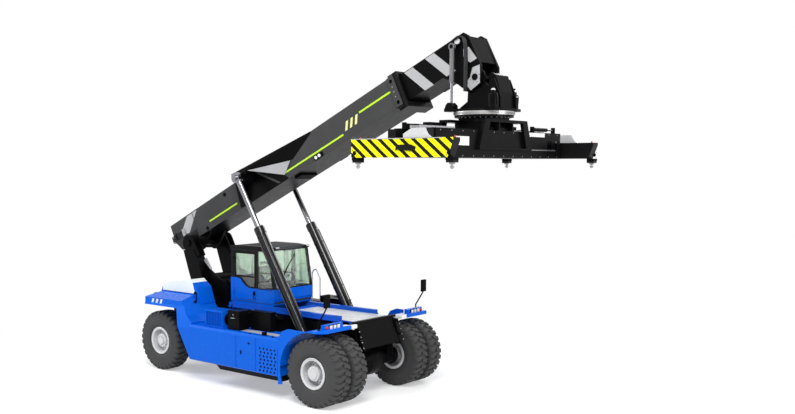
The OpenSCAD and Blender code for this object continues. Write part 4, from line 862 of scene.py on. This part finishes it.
# ---- Cab
# A narrow sheet-steel cab, blue below its belt and black above, lined in grey, with bonded green-tinted
# panes, a wiper, roof lamps, and doors that carry their own panes, window bars and pulls.
cab_front, cab_side, cab_roof = -2.45, 0.72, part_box("cab_shell")[1][2]
floor_z, belt_z = 1.98, 2.40
screen_lean, screen_high = 0.17, 1.055
arc_x, arc_z, arc_r = -3.29, 2.815, 0.44


def above_belt(t, x, y, z):
    """1 above the belt line, which runs level and then sweeps up in an arc at the rear."""
    run = t.math("MAXIMUM", t.math("MINIMUM", t.math("SUBTRACT", x, arc_x), 0.0), -0.377)
    drop = t.math("SQRT", t.math("SUBTRACT", arc_r * arc_r, t.math("MULTIPLY", run, run)))
    line = t.math("SUBTRACT", arc_z, drop)
    line = t.math("ADD", line, t.remap(x, -3.667, -3.80, 0.0, 0.032))
    return t.math("GREATER_THAN", z, line)


def inside_cab(t, x, y, z):
    """1 on the lining, within the walls and above the floor."""
    return all_true(t, t.math("LESS_THAN", t.math("ABSOLUTE", y), cab_side - 0.035),
                    t.math("GREATER_THAN", z, 2.02), t.math("GREATER_THAN", x, -4.035),
                    t.math("LESS_THAN", x, -2.475))


trim_grey = (0.05, 0.052, 0.055)
door_paint = two_tone("door_paint", blue_colour, (0.006, 0.006, 0.0065), above_belt)
finish_node(two_tone("cab_body_paint", blue_colour, trim_grey, inside_cab, other_rough=0.7), "cab_base")
cab_top_paint = two_tone("cab_top_paint", (0.005, 0.005, 0.0055), trim_grey, inside_cab, 0.3, 0.007, 0.3,
                         90, 0.0, 0.12, 0.7)
finish_node(cab_top_paint, "cab_shell")
finish_node(door_paint, "left_door", "right_door")

glass = bpy.data.materials.new("tinted_cab_glass")
glass.use_nodes = True
w = Wiring(glass.node_tree)
body = glass.node_tree.nodes["Principled BSDF"]
place = w.node("ShaderNodeTexCoord").outputs["Object"]
smear = w.node("ShaderNodeTexNoise", None, Vector=place, Scale=3.0, Detail=4.0).outputs[0]
glass.node_tree.links.new(w.remap(smear, 0.35, 0.75, 0.01, 0.09), body.inputs["Roughness"])
tint = w.blend("MIX", w.remap(smear, 0.3, 0.7, 0.0, 0.4), (0.66, 0.90, 0.70, 1), (0.74, 0.93, 0.77, 1))
glass.node_tree.links.new(tint, body.inputs["Base Color"])
body.inputs["Transmission Weight"].default_value = 1.0
body.inputs["IOR"].default_value = 1.45
body.inputs["Alpha"].default_value = 0.6
finish_node(glass, "cab_glass", "left_door_glass", "right_door_glass")

seal = painted("rubber_seal", (0.012, 0.012, 0.013), 0.7, 0.1, 0.3, 160, 0.0, 0.0, 0.2)


def windscreen(y, z, off=0.0):
    """A point on the windscreen, which leans back from the belt to the roof."""
    return at(cab_front - screen_lean * (z - belt_z) / screen_high + off, y, z)


fittings, glassware, wipers = Shape(), Shape(), Shape()
wipers.rod(windscreen(-0.52, 2.41, -0.01), windscreen(-0.52, 2.41, 0.045), 0.028, sides=16)
wipers.tube([windscreen(-0.52, 2.41, 0.035), windscreen(-0.40, 2.66, 0.035),
             windscreen(-0.10, 3.02, 0.03)], 0.009)
wipers.slab([windscreen(-0.34, 2.78, 0.016), windscreen(0.14, 3.26, 0.016), windscreen(0.155, 3.245, 0.016),
             windscreen(-0.325, 2.765, 0.016)], (0.014, 0, 0.002))
wipers.rod(at(-2.52, -0.30, cab_roof - 0.10), at(-2.50, -0.30, cab_roof - 0.10), 0.02, sides=12)
for s in (1, -1):
    fittings.box(at(-2.56, s * 0.50, cab_roof - 0.035), at(-2.47, s * 0.66, cab_roof - 0.010))
    fittings.box(at(-2.60, s * 0.46, cab_roof - 0.05), at(-2.55, s * 0.70, cab_roof - 0.03))
    glassware.box(at(-2.475, s * 0.515, cab_roof - 0.0345), at(-2.466, s * 0.645, cab_roof - 0.0110))
for y in (-0.3, 0.3):
    fittings.box(at(-4.062, y - 0.08, 2.70), at(-4.05, y + 0.08, 2.72))
piece("cab_roof_fittings", fittings.mesh(), black_paint_and_shade, "cab", 0.006)
piece("cab_lamp_glass", glassware.mesh(), lens_white, "cab", 0.003)
piece("wiper", wipers.mesh(), deep_black_and_shade, "cab", 0.002)

gutters = Shape()
for s in (1, -1):
    # drip rail over the door, belt rail under the side window and the sill under the door
    gutters.box(at(-3.96, s * 0.72, 3.345), at(-2.70, s * 0.732, 3.360))
    gutters.box(at(-3.06, s * 0.7195, belt_z - 0.03), at(-2.52, s * 0.727, belt_z - 0.014))
    gutters.box(at(-4.00, s * 0.7195, floor_z + 0.03), at(-2.52, s * 0.726, floor_z + 0.042))
piece("cab_rails", gutters.mesh(), seal, "cab", 0.002)

for s, word in both_sides:
    frame_bars, pulls = Shape(), Shape()
    # sliding pane's bars in the door window, the recessed pull and its lock
    frame_bars.box(at(-3.88, s * 0.690, 2.655), at(-3.17, s * 0.716, 2.690))
    frame_bars.box(at(-3.88, s * 0.700, 3.262), at(-3.17, s * 0.724, 3.280))
    pulls.tube([at(-3.175, s * 0.72, 2.30), at(-3.175, s * 0.762, 2.30), at(-3.175, s * 0.762, 2.12),
                at(-3.175, s * 0.72, 2.12)], 0.010)
    pulls.box(at(-3.20, s * 0.72, 2.20), at(-3.15, s * 0.727, 2.28))
    body_name = word + "_cab_door"
    piece("door_window_bars_" + word, frame_bars.mesh(), black_paint_and_shade, body_name, 0.003)
    piece("door_pull_" + word, pulls.mesh(), deep_black_and_shade, body_name, 0.002)
    edge = Shape()
    for a, b in (((-3.925, 2.07), (-3.135, 2.08)), ((-3.925, 2.07), (-3.915, 2.36)),
                 ((-3.145, 2.07), (-3.135, 2.36))):
        edge.box(at(a[0], s * 0.7198, a[1]), at(b[0], s * 0.7212, b[1]))
    piece("door_panel_line_" + word, edge.mesh(), seal, body_name)

# ---- Driver's seat and controls
# A sprung seat on a pleated bellows with a padded cloth cushion, back and head pad, a console with the
# column and wheel, and an armrest with its lever. The pads are blown up by the cloth solver.
seat_cloth = bpy.data.materials.new("seat_cloth")
seat_cloth.use_nodes = True
w = Wiring(seat_cloth.node_tree)
body = seat_cloth.node_tree.nodes["Principled BSDF"]
place = w.node("ShaderNodeTexCoord").outputs["Object"]
weave = w.node("ShaderNodeTexChecker", None, Vector=place, Scale=420.0).outputs[1]
tone = w.node("ShaderNodeTexNoise", None, Vector=place, Scale=14.0, Detail=3.0).outputs[0]
colour = w.blend("MIX", w.math("MULTIPLY_ADD", weave, 0.3, w.math("MULTIPLY", tone, 0.5)),
                 (0.020, 0.021, 0.024, 1), (0.055, 0.057, 0.063, 1))
seat_cloth.node_tree.links.new(colour, body.inputs["Base Color"])
body.inputs["Roughness"].default_value = 0.92
body.inputs["Sheen Weight"].default_value = 0.3
bump = w.node("ShaderNodeBump", None, Strength=0.35, Distance=0.001, Height=weave)
seat_cloth.node_tree.links.new(bump.outputs[0], body.inputs["Normal"])


def stuffed(name, blank, swell, sink):
    """A pad from a closed blank: remeshed, blown up with the cloth solver, and held within swell."""
    o = bpy.data.objects.new(name, blank)
    scene.collection.objects.link(o)
    cells = o.modifiers.new("cells", "REMESH")
    cells.mode = "VOXEL"
    cells.voxel_size = 0.014
    mesh = settled(o)
    o.modifiers.clear()
    o.data = mesh
    before = [v.co.copy() for v in mesh.vertices]
    cloth = o.modifiers.new("cloth", "CLOTH")
    cloth.settings.use_pressure = True
    cloth.settings.uniform_pressure_force = 4.0
    cloth.settings.effector_weights.gravity = 0.0
    for step in range(1, 21):
        scene.frame_set(step)
    grown = settled(o)
    scene.frame_set(1)
    o.modifiers.clear()
    for v, g, b in zip(mesh.vertices, grown.vertices, before):
        move = g.co - b
        v.co = b + move * min(1.0, swell / max(move.length, 1e-6))
    # sewn channels across the pad
    for v in mesh.vertices:
        v.co += sink(v.co)
    round_off = o.modifiers.new("round", "SUBSURF")
    round_off.levels = round_off.render_levels = 1
    mesh = settled(o)
    bpy.data.objects.remove(o)
    done = piece(name, mesh, seat_cloth, "cab", smooth=True)
    return done


def seams_at(places, half, depth, along):
    """A push inwards by depth along the vector along, near each place in Y."""
    def push(co):
        near = min(abs(co.y - p) for p in places)
        return Vector(along) * (-depth * max(0.0, 1 - near / half) ** 2)
    return push


seat_floor = 2.03
base = Shape().slab([at(-3.50, -0.235, 2.345), at(-3.02, -0.235, 2.345), at(-3.005, -0.235, 2.39),
                     at(-3.04, -0.235, 2.44), at(-3.50, -0.235, 2.435)], (0, 0.47, 0)).mesh()
cushion = stuffed("seat_cushion", base, 0.014, seams_at((-0.12, 0.12), 0.03, 0.010, (0, 0, 1)))
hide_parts("driver_seat")
back = Shape().slab([at(-3.505, -0.225, 2.45), at(-3.435, -0.225, 2.46), at(-3.505, -0.20, 2.90),
                     at(-3.575, -0.20, 2.90)], (0, 0.43, 0)).mesh()
stuffed("seat_back", back, 0.014, seams_at((-0.11, 0.12), 0.03, 0.010, (1, 0, 0)))
pad = Shape().slab([at(-3.530, -0.12, 2.92), at(-3.560, -0.12, 3.01), at(-3.592, -0.12, 3.01),
                    at(-3.575, -0.12, 2.92)], (0, 0.24, 0)).mesh()
stuffed("head_pad", pad, 0.008, lambda co: Vector((0, 0, 0)))

stand, desk, wheel = Shape(), Shape(), Shape()
for k in range(6):
    inset = 0.018 * (k % 2)
    z = seat_floor + 0.02 + 0.045 * k
    stand.box(at(-3.44 + inset, -0.19 + inset, z), at(-3.06 - inset, 0.19 - inset, z + 0.047))
stand.box(at(-3.46, -0.20, seat_floor), at(-3.04, 0.20, seat_floor + 0.022))
stand.box(at(-3.48, -0.215, 2.31), at(-3.03, 0.215, 2.335))
piece("seat_bellows", stand.mesh(), seal, "cab", 0.006)
desk.slab([at(-2.77, -0.21, seat_floor), at(-2.62, -0.21, seat_floor), at(-2.60, -0.21, 2.44),
           at(-2.68, -0.21, 2.56), at(-2.78, -0.21, 2.50)], (0, 0.42, 0))
for s in (1, -1):
    desk.box(at(-3.46, s * 0.30, 2.50), at(-3.10, s * 0.235, 2.535))
    desk.box(at(-3.46, s * 0.29, 2.30), at(-3.42, s * 0.245, 2.50))
desk.tube([at(-3.12, -0.268, 2.535), at(-3.12, -0.268, 2.62)], 0.008)
desk.rod(at(-3.12, -0.268, 2.61), at(-3.115, -0.268, 2.67), 0.02, 0.024, 16)
piece("cab_console", desk.mesh(), seal, "cab", 0.008)
hub = at(-2.86, 0, 2.63)
tip = Vector((-0.42, 0, 0.9)).normalized()
flat = Vector((0.9, 0, 0.42)).normalized()


def on_wheel(r, t):
    """A point of the steering wheel, r out from its hub, at the angle t."""
    return hub + flat * (r * math.cos(t)) + Vector((0, r * math.sin(t), 0))


wheel.tube([on_wheel(0.20, math.tau * k / 24) for k in range(25)], 0.014, rounds=1)
for k in range(3):
    wheel.tube([hub, on_wheel(0.195, math.tau * (k / 3 + 0.08))], 0.009)
wheel.rod(hub - tip * 0.20, hub + tip * 0.012, 0.03, 0.045, 16)
piece("steering_wheel", wheel.mesh(), deep_black_and_shade, "cab", smooth=True)

# ---- Boom
# A fabricated box boom in grey with a black front collar, a painted shade in black on its underside,
# painted marks along its flanks, and the hydraulic and electric lines clipped along its top. All of it
# rides on the boom.
boom_pivot = Vector(joint["boom_lift"]["pos_m"])
boom_lean = math.radians(25.5)
cos_lean, sin_lean = math.cos(boom_lean), math.sin(boom_lean)
boom_half, boom_floor, boom_top, collar_start = 0.45, 0.10, 0.83, 7.78


def on_boom(s, n, y):
    """A point along the boom from its pivot, square to it, and across."""
    return Vector((boom_pivot.x + s * cos_lean - n * sin_lean, y,
                   boom_pivot.z + s * sin_lean + n * cos_lean))


def along_boom(t, x, z):
    """How far along the boom a place lies, and how far above its pivot line."""
    run = t.math("SUBTRACT", x, boom_pivot.x - axle_x)
    rise = t.math("SUBTRACT", z, boom_pivot.z)
    s = t.math("ADD", t.math("MULTIPLY", run, cos_lean), t.math("MULTIPLY", rise, sin_lean))
    n = t.math("SUBTRACT", t.math("MULTIPLY", rise, cos_lean), t.math("MULTIPLY", run, sin_lean))
    return s, n


def collar_and_shade_mask(t, x, y, z):
    """1 on the black collar, other than its outermost plates, and on the boom's underside, whose black is a
    painted shade.
    """
    s, n = along_boom(t, x, z)
    plate = t.math("GREATER_THAN", t.math("ABSOLUTE", y), boom_half + 0.0505)
    black = t.math("GREATER_THAN", s, collar_start - 0.051)
    # painted shade: the boom's underside is painted black
    under = t.math("LESS_THAN", n, boom_floor + 0.0005)
    return t.math("MAXIMUM", t.math("SUBTRACT", black, plate), under)


boom_paint_and_shade = two_tone("boom_grey_paint_and_shade", (0.052, 0.052, 0.053), (0.005, 0.005, 0.0055), collar_and_shade_mask,
                      0.36, 0.008, 0.22, 80, 0.0, 0.10)
finish_node(boom_paint_and_shade, "outer_boom")
finish_node(black_paint_and_shade, "boom_saddle", "inner_boom")

stripes, panels, pale_bars, plugs, welds = Shape(), Shape(), Shape(), Shape(), Shape()
face = boom_half + 0.0004


def mark(shape, outline, y, side, thick=skin):
    """A film or plate on the boom's flank, its outline given along and square to the boom."""
    shape.slab([on_boom(s, n, side * y) for s, n in outline], (0, side * thick, 0))


def stripe(shape, s0, s1, n, wide, y, side):
    """A straight mark along the boom."""
    mark(shape, [(s0, n), (s1, n), (s1, n + wide), (s0, n + wide)], y, side)


for side in (1, -1):
    stripe(stripes, 0.78, 1.98, 0.285, 0.042, face, side)
    stripe(stripes, 3.92, 6.03, 0.262, 0.042, face, side)
    stripe(stripes, 6.68, 7.72, 0.508, 0.042, face, side)
    mark(panels, [(-0.50, 0.42), (-0.12, 0.345), (0.42, 0.80), (-0.02, 0.80)], face, side)
    for k in range(3):
        s = 6.12 + 0.16 * k
        mark(pale_bars, [(s, 0.33), (s + 0.075, 0.33), (s + 0.19, 0.53), (s + 0.115, 0.53)], face, side)
    # hand-hole covers, and the weld seams round the tail
    for s, n in ((1.64, 0.71), (0.62, 0.17)):
        plugs.rod(on_boom(s, n, side * boom_half), on_boom(s, n, side * (boom_half + 0.012)),
                  0.058, 0.052, 28)
    mark(welds, [(0.20, 0.105), (0.225, 0.105), (0.225, 0.829), (0.20, 0.829)], face, side, 0.004)
    mark(welds, [(-0.795, 0.335), (-0.765, 0.335), (-0.765, 0.829), (-0.795, 0.829)], face, side, 0.004)
piece("lime_stripes", stripes.mesh(), lime, "boom")
piece("tail_panels", panels.mesh(), grey_paint_and_highlight, "boom")
pale_yellow = painted("pale_yellow_paint", (0.78, 0.80, 0.32), 0.32, 0.02, 0.08, 80, 0.1, 0.0, 0.3)
piece("pale_bars", pale_bars.mesh(), pale_yellow, "boom")
piece("hand_hole_covers", plugs.mesh(), deep_black_and_shade, "boom", 0.004)
piece("boom_seams", welds.mesh(), boom_paint_and_shade, "boom", 0.001)

# black cheek plates under the saddle's hood, partly a real plate and partly a painted shadow under the
# hood, each with a slanting rib, and a pale grey triangle slanting in under each side of the hood that is a
# painted highlight
cheeks, cheek_ribs, glare_facets = Shape(), Shape(), Shape()
for side in (1, -1):
    mark(cheeks, [(2.15, 0.80), (2.07, 0.13), (2.46, 0.105), (3.98, 0.105), (3.88, 0.24), (3.95, 0.55),
                  (4.6, 0.79)], face, side, 0.012)
    mark(cheek_ribs, [(3.00, 0.70), (3.06, 0.72), (3.70, 0.12), (3.63, 0.12)], face + 0.012, side, 0.03)
    # painted highlight: a pale grey triangle for the glare on the slanting plate under the hood
    glare_facets.slab([on_boom(3.06, 0.755, side * 0.812), on_boom(4.22, 0.478, side * 0.472),
                 on_boom(3.90, 0.24, side * 0.468)], (0, side * 0.004, -0.006))
piece("saddle_cheeks_and_shadow", cheeks.mesh(), black_paint_and_shade, "boom", 0.003)
piece("saddle_ribs", cheek_ribs.mesh(), boom_paint_and_shade, "boom", 0.003)
piece("saddle_glare_facets", glare_facets.mesh(), grey_paint_and_highlight, "boom")

# lines along the top, their clamps, and two work lamps in a bracket low on each flank
lines, clamps, brackets, eyes = Shape(), Shape(), Shape(), Shape()
for k in range(4):
    y = -0.10 - 0.055 * k
    lines.tube([on_boom(-0.70, boom_top + 0.022, y), on_boom(3.5, boom_top + 0.022, y),
                on_boom(7.70, boom_top + 0.022, y)], 0.018, rounds=0)
turn = Matrix.Rotation(-boom_lean, 4, "Y")
for k in range(9):
    clamps.box((-0.02, -0.31, 0), (0.02, -0.055, 0.044),
               Matrix.Translation(on_boom(-0.5 + 0.98 * k, boom_top, 0)) @ turn)
for side in (1, -1):
    brackets.box((-0.14, side * boom_half, -0.07), (0.14, side * (boom_half + 0.045), 0.05),
                 Matrix.Translation(on_boom(5.12, 0.17, 0)) @ turn)
    for s in (5.06, 5.18):
        eyes.rod(on_boom(s, 0.155, side * (boom_half + 0.045)),
                 on_boom(s, 0.15, side * (boom_half + 0.075)), 0.036, 0.042, 20)
brackets.box((-0.12, -0.30, -0.05), (0.12, 0.30, 0.0),
             Matrix.Translation(on_boom(4.15, boom_floor, 0)) @ turn)
piece("boom_lines", lines.mesh(), deep_black_and_shade, "boom", smooth=True)
piece("boom_clamps", clamps.mesh(), raw_steel, "boom", 0.004)
piece("boom_brackets", brackets.mesh(), deep_black_and_shade, "boom", 0.006)
piece("boom_lamps", eyes.mesh(), lens_white, "boom", 0.004)
collar_bolts = Shape()
for side in (1, -1):
    for n in (0.33, 0.45, 0.57):
        collar_bolts.rod(on_boom(7.83, n, side * 0.511), on_boom(7.83, n, side * 0.528), 0.017, sides=6)
piece("collar_bolts", collar_bolts.mesh(), raw_steel, "boom")

# pale grey plates on the corners of the boom towers: a painted highlight
corners = Shape()
for side in (1, -1):
    corners.slab([at(x, side * 0.525, z) for x, z in
                  ((-5.29, 2.955), (-5.20, 3.04), (-4.99, 2.76), (-5.02, 2.72))], (0, side * 0.03, 0))
piece("tower_corner_highlights", corners.mesh(), grey_paint_and_highlight, "chassis", 0.003)

# ---- Hoses at the boom's tail
# Rubber hydraulic hoses that leave a port block on each flank, run back through a clip and loop round
# the end of the tail into the box.
hose_rubber = painted("hose_rubber", (0.014, 0.014, 0.015), 0.42, 0.01, 0.3, 60, 0.1, 0.0, 0.2)
hose_r = 0.015


def hose(name, points, body):
    """A hose through points, both of whose ends go into the machine, made as a plain piece that rides on
    the body.
    """
    route = eased(points, 4)
    o = piece(name, Shape().tube(route, hose_r, rounds=0).mesh(), hose_rubber, body, smooth=True)


loop_out, loop_in, loop_pitch = 0.475, 0.215, 0.042
loop_middle, loop_r = 0.345, 0.130
for side, word in both_sides:
    port, clip = Shape(), Shape()
    mark(port, [(-0.36, 0.335), (-0.26, 0.335), (-0.26, 0.535), (-0.36, 0.535)], face, side, 0.05)
    mark(clip, [(-0.66, 0.345), (-0.635, 0.345), (-0.635, 0.545), (-0.66, 0.545)], face, side, 0.046)
    piece("hose_port_" + word, port.mesh(), raw_steel, "boom", 0.004)
    piece("hose_clip_" + word, clip.mesh(), deep_black_and_shade, "boom", 0.003)
    for k in range(4):
        n = 0.375 + loop_pitch * k
        straight = [on_boom(s, n, side * loop_out) for s in (-0.36, -0.60, -0.74)]
        bend = [on_boom(-0.80 - 0.13 * math.sin(math.pi * j / 10), n - 0.004 * j,
                        side * (loop_middle + loop_r * math.cos(math.pi * j / 10))) for j in range(1, 10)]
        end = [on_boom(-0.785, n - 0.04, side * loop_in)]
        hose("tail_hose_%s_%d" % (word, k + 1), straight + bend + end, "boom")

# ---- Telescope and its nose
# The sliding inner box in black with pale warning bands across its flanks and nose plates, and
# bundles of lines down both sides of the nose, from the sheaves to the rotator.
inner_face = 0.3864
band_top, band_low, band_wide = 0.75, 0.125, 0.26
shift = 0.55 * (band_top - band_low)
bands = Shape()
for side in (1, -1):
    for s in (8.17, 8.80):
        mark(bands, [(s, band_top), (s + shift, band_low), (s + shift + band_wide, band_low),
                     (s + band_wide, band_top)], inner_face, side)
    mark(bands, [(9.70, 0.30), (9.76, 0.45), (9.90, 0.42), (9.975, 0.10), (9.79, 0.10), (9.74, 0.2)],
         inner_face, side)
    mark(bands, [(9.80, -0.02), (9.985, -0.05), (9.83, -0.40), (9.56, -0.44), (9.50, -0.24), (9.66, -0.18)],
         inner_face, side)
piece("telescope_bands", bands.mesh(), grey_paint_and_highlight, "telescope")
guides, caps, nose_bolts = Shape(), Shape(), Shape()
for side in (1, -1):
    for k in range(4):
        y = side * (0.405 + 0.036 * k)
        guides.tube([on_boom(s, n, y) for s, n in
                     ((9.66, 0.70), (9.86, 0.72), (9.93, 0.55), (9.62, -0.12), (9.47, -0.42))], 0.015)
    caps.rod(on_boom(9.72, 0.659, side * 0.43), on_boom(9.72, 0.659, side * 0.45), 0.075, 0.068, 28)
    for a, b in circle(8, 0.115):
        nose_bolts.rod(on_boom(9.773 + a, b - 0.23, side * 0.386),
                       on_boom(9.773 + a, b - 0.23, side * 0.398), 0.014, sides=6)
piece("nose_hose_guides", guides.mesh(), hose_rubber, "telescope", smooth=True)
piece("sheave_caps", caps.mesh(), wheel_silver, "telescope", 0.004)
piece("nose_bolts", nose_bolts.mesh(), raw_steel, "telescope")

# ---- Rotator, slew ring and dampers
# A black cast yoke on the head pin over a toothed slew ring, turned by two drives with finned brake
# cans and swivel fittings. Two grey dampers with chrome rods steady it.
finish_node(black_paint_and_shade, "rotator_yoke")
finish_node(painted("slew_ring_steel", (0.50, 0.49, 0.47), 0.35, 0.03, 0.25, 140, 0.0, 0.7), "slew_ring")
damper_grey = painted("damper_grey_enamel", (0.14, 0.14, 0.145), 0.3, 0.02, 0.2, 90, 0.2, 0.0, 0.4)
finish_node(damper_grey, "damper_barrels")
slew = Vector(joint["spreader_slew"]["pos_m"])
ring_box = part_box("slew_ring")
ring_low, ring_high = ring_box[0][2], ring_box[1][2]
ring_r = (ring_box[1][0] - ring_box[0][0]) / 2
teeth = Shape()
for k in range(120):
    t = math.tau * k / 120
    turn = Matrix.Translation((slew.x, 0, 0)) @ Matrix.Rotation(t, 4, "Z")
    teeth.box((ring_r - 0.002, -0.008, ring_low + 0.012), (ring_r + 0.014, 0.008, ring_high - 0.016), turn)
piece("slew_teeth", teeth.mesh(), raw_steel, "carriage")
cans, crowns, ports = Shape(), Shape(), Shape()
can_base = ring_high
for y in (-0.43, 0.43):
    x = slew.x + 0.48
    for k in range(7):
        z = can_base + 0.15 + 0.024 * k
        cans.rod((x, y, z), (x, y, z + 0.011), 0.092, sides=32)
    crowns.rod((x, y, can_base + 0.42), (x, y, can_base + 0.44), 0.05, sides=24)
    crowns.rod((x, y, can_base + 0.44), (x, y, can_base + 0.475), 0.044, 0.02, 24)
    for a, b in circle(8, 0.085):
        cans.rod((x + a, y + b, can_base + 0.128), (x + a, y + b, can_base + 0.142), 0.009, sides=6)
    for a in (-0.06, 0.06):
        ports.tube([(x + a, y, can_base + 0.34), (x + 1.6 * a, y, can_base + 0.36),
                    (x + 1.9 * a, y, can_base + 0.24), (x + 1.6 * a, y * 0.93, can_base + 0.02)], 0.011)
piece("drive_fins", cans.mesh(), black_paint_and_shade, "rotator")
piece("drive_crowns", crowns.mesh(), wheel_silver, "rotator", 0.003)
piece("drive_ports", ports.mesh(), hose_rubber, "rotator", smooth=True)
ring_bolts = Shape()
for a, b in circle(30, 0.565, 0.5):
    p = Vector((slew.x + a, b, ring_low - 0.05))
    ring_bolts.rod(p - Vector((0, 0, 0.016)), p + Vector((0, 0, 0.001)), 0.014, sides=6)
piece("ring_bolts", ring_bolts.mesh(), raw_steel, "carriage")

# ---- Shift carriage and spreader
# Heavy black plate work: the carriage straddles two box beams, whose sliding arms carry the end beams.
# A shift cylinder lies along each side, with junction boxes and hose trays on top.
finish_node(black_paint_and_shade, "shift_carriage", "spreader_frame")
frame_low, frame_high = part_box("spreader_frame")
beam_top = frame_high[2]
rods, barrels, boxes, trays = Shape(), Shape(), Shape(), Shape()
for side in (1, -1):
    x = slew.x + side * 0.44
    barrels.rod((x, side * 1.33, beam_top + 0.07), (x, side * 1.98, beam_top + 0.07), 0.045, sides=28)
    rods.rod((x, side * 1.98, beam_top + 0.07), (x, side * 2.30, beam_top + 0.07), 0.022, sides=20)
    for y in (1.30, 2.28):
        boxes.box((x - 0.045, side * y, beam_top), (x + 0.045, side * (y + 0.05), beam_top + 0.13))
    trays.box((slew.x - 0.16, side * 1.30, beam_top), (slew.x - 0.12, side * 2.50, beam_top + 0.06))
    trays.box((slew.x + 0.06, side * 1.30, beam_top), (slew.x + 0.10, side * 2.50, beam_top + 0.06))
    boxes.box((slew.x - 0.38, side * 1.35, beam_top), (slew.x - 0.20, side * 1.75, beam_top + 0.15))
    for k in range(3):
        y = 2.10 + 0.13 * k
        boxes.box((slew.x - 0.35, side * y, beam_top), (slew.x - 0.27, side * (y + 0.08), beam_top + 0.10))
piece("shift_barrels", barrels.mesh(), black_paint_and_shade, "spreader", 0.004)
piece("shift_rods", rods.mesh(), chrome, "spreader", 0.002)
piece("spreader_boxes", boxes.mesh(), deep_black_and_shade, "spreader", 0.006)
piece("hose_trays", trays.mesh(), grey_paint_and_highlight, "spreader", 0.003)
plates, slides = Shape(), Shape()
web = frame_high[0]
for side in (1, -1):
    # inspection plates and slide rails on the outer webs, the same on both beams
    x0 = slew.x + side * (web - slew.x)
    x1 = x0 + side * 0.003
    plates.box((x0, -1.85, beam_top - 0.33), (x1, -1.37, beam_top - 0.15))
    plates.box((x0, 0.88, beam_top - 0.10), (x1, 1.80, beam_top - 0.012))
    slides.box((x0, -0.30, beam_top - 0.405), (x1, 2.33, beam_top - 0.385))
piece("web_plates", plates.mesh(), signal_white, "spreader", 0.001)
piece("web_slides", slides.mesh(), raw_steel, "spreader", 0.001)
web_bolts = hexagon((web - 0.001, 0, 0), (web + 0.003, 0, 0), 0.013)
repeated("web_bolts", web_bolts, rows_tree,
         {"Per row": 13, "Rows": 2, "Along": (0, 0.4, 0), "Across": (0, 0, -0.5),
          "Start": (0, -2.4, beam_top - 0.04)}, raw_steel, "spreader")

# ---- End beams and twistlocks
# Box end beams painted in slanting yellow and black bars on their outer faces, pale uprights over
# them, and forged locks in cast housings, with round covers and pilot lamps.
lock_x = [Vector(joint["lock_turn_%s_left" % w]["pos_m"]).x for w in ("front", "rear")]
lock_y = abs(joint["lock_turn_front_left"]["pos_m"][1])
end_face = lock_y + 0.115
beam_low = frame_low[2]
cover_z = beam_low + 0.09
bar_pitch, bar_share, bar_slope = 0.27, 0.57, 1.24


def end_paint(name):
    """Black, with yellow bars low on the outer face and grey above them at the ends."""
    m = painted(name, (0.005, 0.005, 0.0055), 0.3, 0.007, 0.2, 80, 0.0, 0.0, 0.12)
    t = Wiring(m.node_tree)
    group = next(n for n in m.node_tree.nodes if n.type == "GROUP")
    x, y, z = coordinates(t)
    face_mask = t.math("GREATER_THAN", t.math("ABSOLUTE", y), end_face - 0.0008)
    face_mask = t.math("MULTIPLY", face_mask, t.math("LESS_THAN", t.math("ABSOLUTE", y), end_face + 0.0008))
    low_part = t.math("LESS_THAN", z, beam_low + 0.371)
    across = t.math("DIVIDE", t.math("MULTIPLY_ADD", z, bar_slope, x), bar_pitch)
    bars = t.math("LESS_THAN", t.math("FRACT", across), bar_share)
    upright = all_true(t, t.math("GREATER_THAN", z, beam_low + 0.375),
                       t.math("GREATER_THAN", t.math("ABSOLUTE", y), 2.95))
    yellow = all_true(t, face_mask, low_part, bars)
    colour = t.blend("MIX", yellow, (0.006, 0.006, 0.0065, 1), (0.90, 0.86, 0.006, 1))
    colour = t.blend("MIX", upright, colour, (0.55, 0.55, 0.56, 1))
    m.node_tree.links.new(colour, group.inputs["Paint"])
    return m


finish_node(end_paint("end_beam_paint"), "left_end_beam", "right_end_beam")
finish_node(raw_steel, "twistlock_front_left", "twistlock_front_right", "twistlock_rear_left",
            "twistlock_rear_right")
for s, word in both_sides:
    castings, pilots, edges = Shape(), Shape(), Shape()
    for x in lock_x:
        castings.box((x - 0.088, s * (lock_y - 0.088), beam_low - 0.055),
                     (x + 0.088, s * (lock_y + 0.1), beam_low - 0.002))
        castings.rod((x, s * (end_face + 0.001), cover_z), (x, s * (end_face + 0.012), cover_z), 0.045,
                     sides=24)
        for a, b in circle(4, 0.075, 0.5):
            castings.rod((x + a, s * (end_face - 0.001), cover_z + b),
                         (x + a, s * (end_face + 0.009), cover_z + b), 0.010, sides=6)
        pilots.rod((x + 0.02, s * (lock_y - 0.06), beam_low + 0.37),
                   (x + 0.02, s * (lock_y - 0.06), beam_low + 0.405), 0.022, 0.018, 16)
    edges.box((slew.x - 1.2, s * (end_face + 0.0002), beam_low + 0.358),
              (slew.x + 0.98, s * (end_face + 0.006), beam_low + 0.372))
    piece("lock_housings_" + word, castings.mesh(), deep_black_and_shade, word + "_end", 0.004)
    piece("pilot_lamps_" + word, pilots.mesh(), lens_red, word + "_end", 0.002)
    piece("end_beam_lip_" + word, edges.mesh(), grey_paint_and_highlight, word + "_end", 0.001)
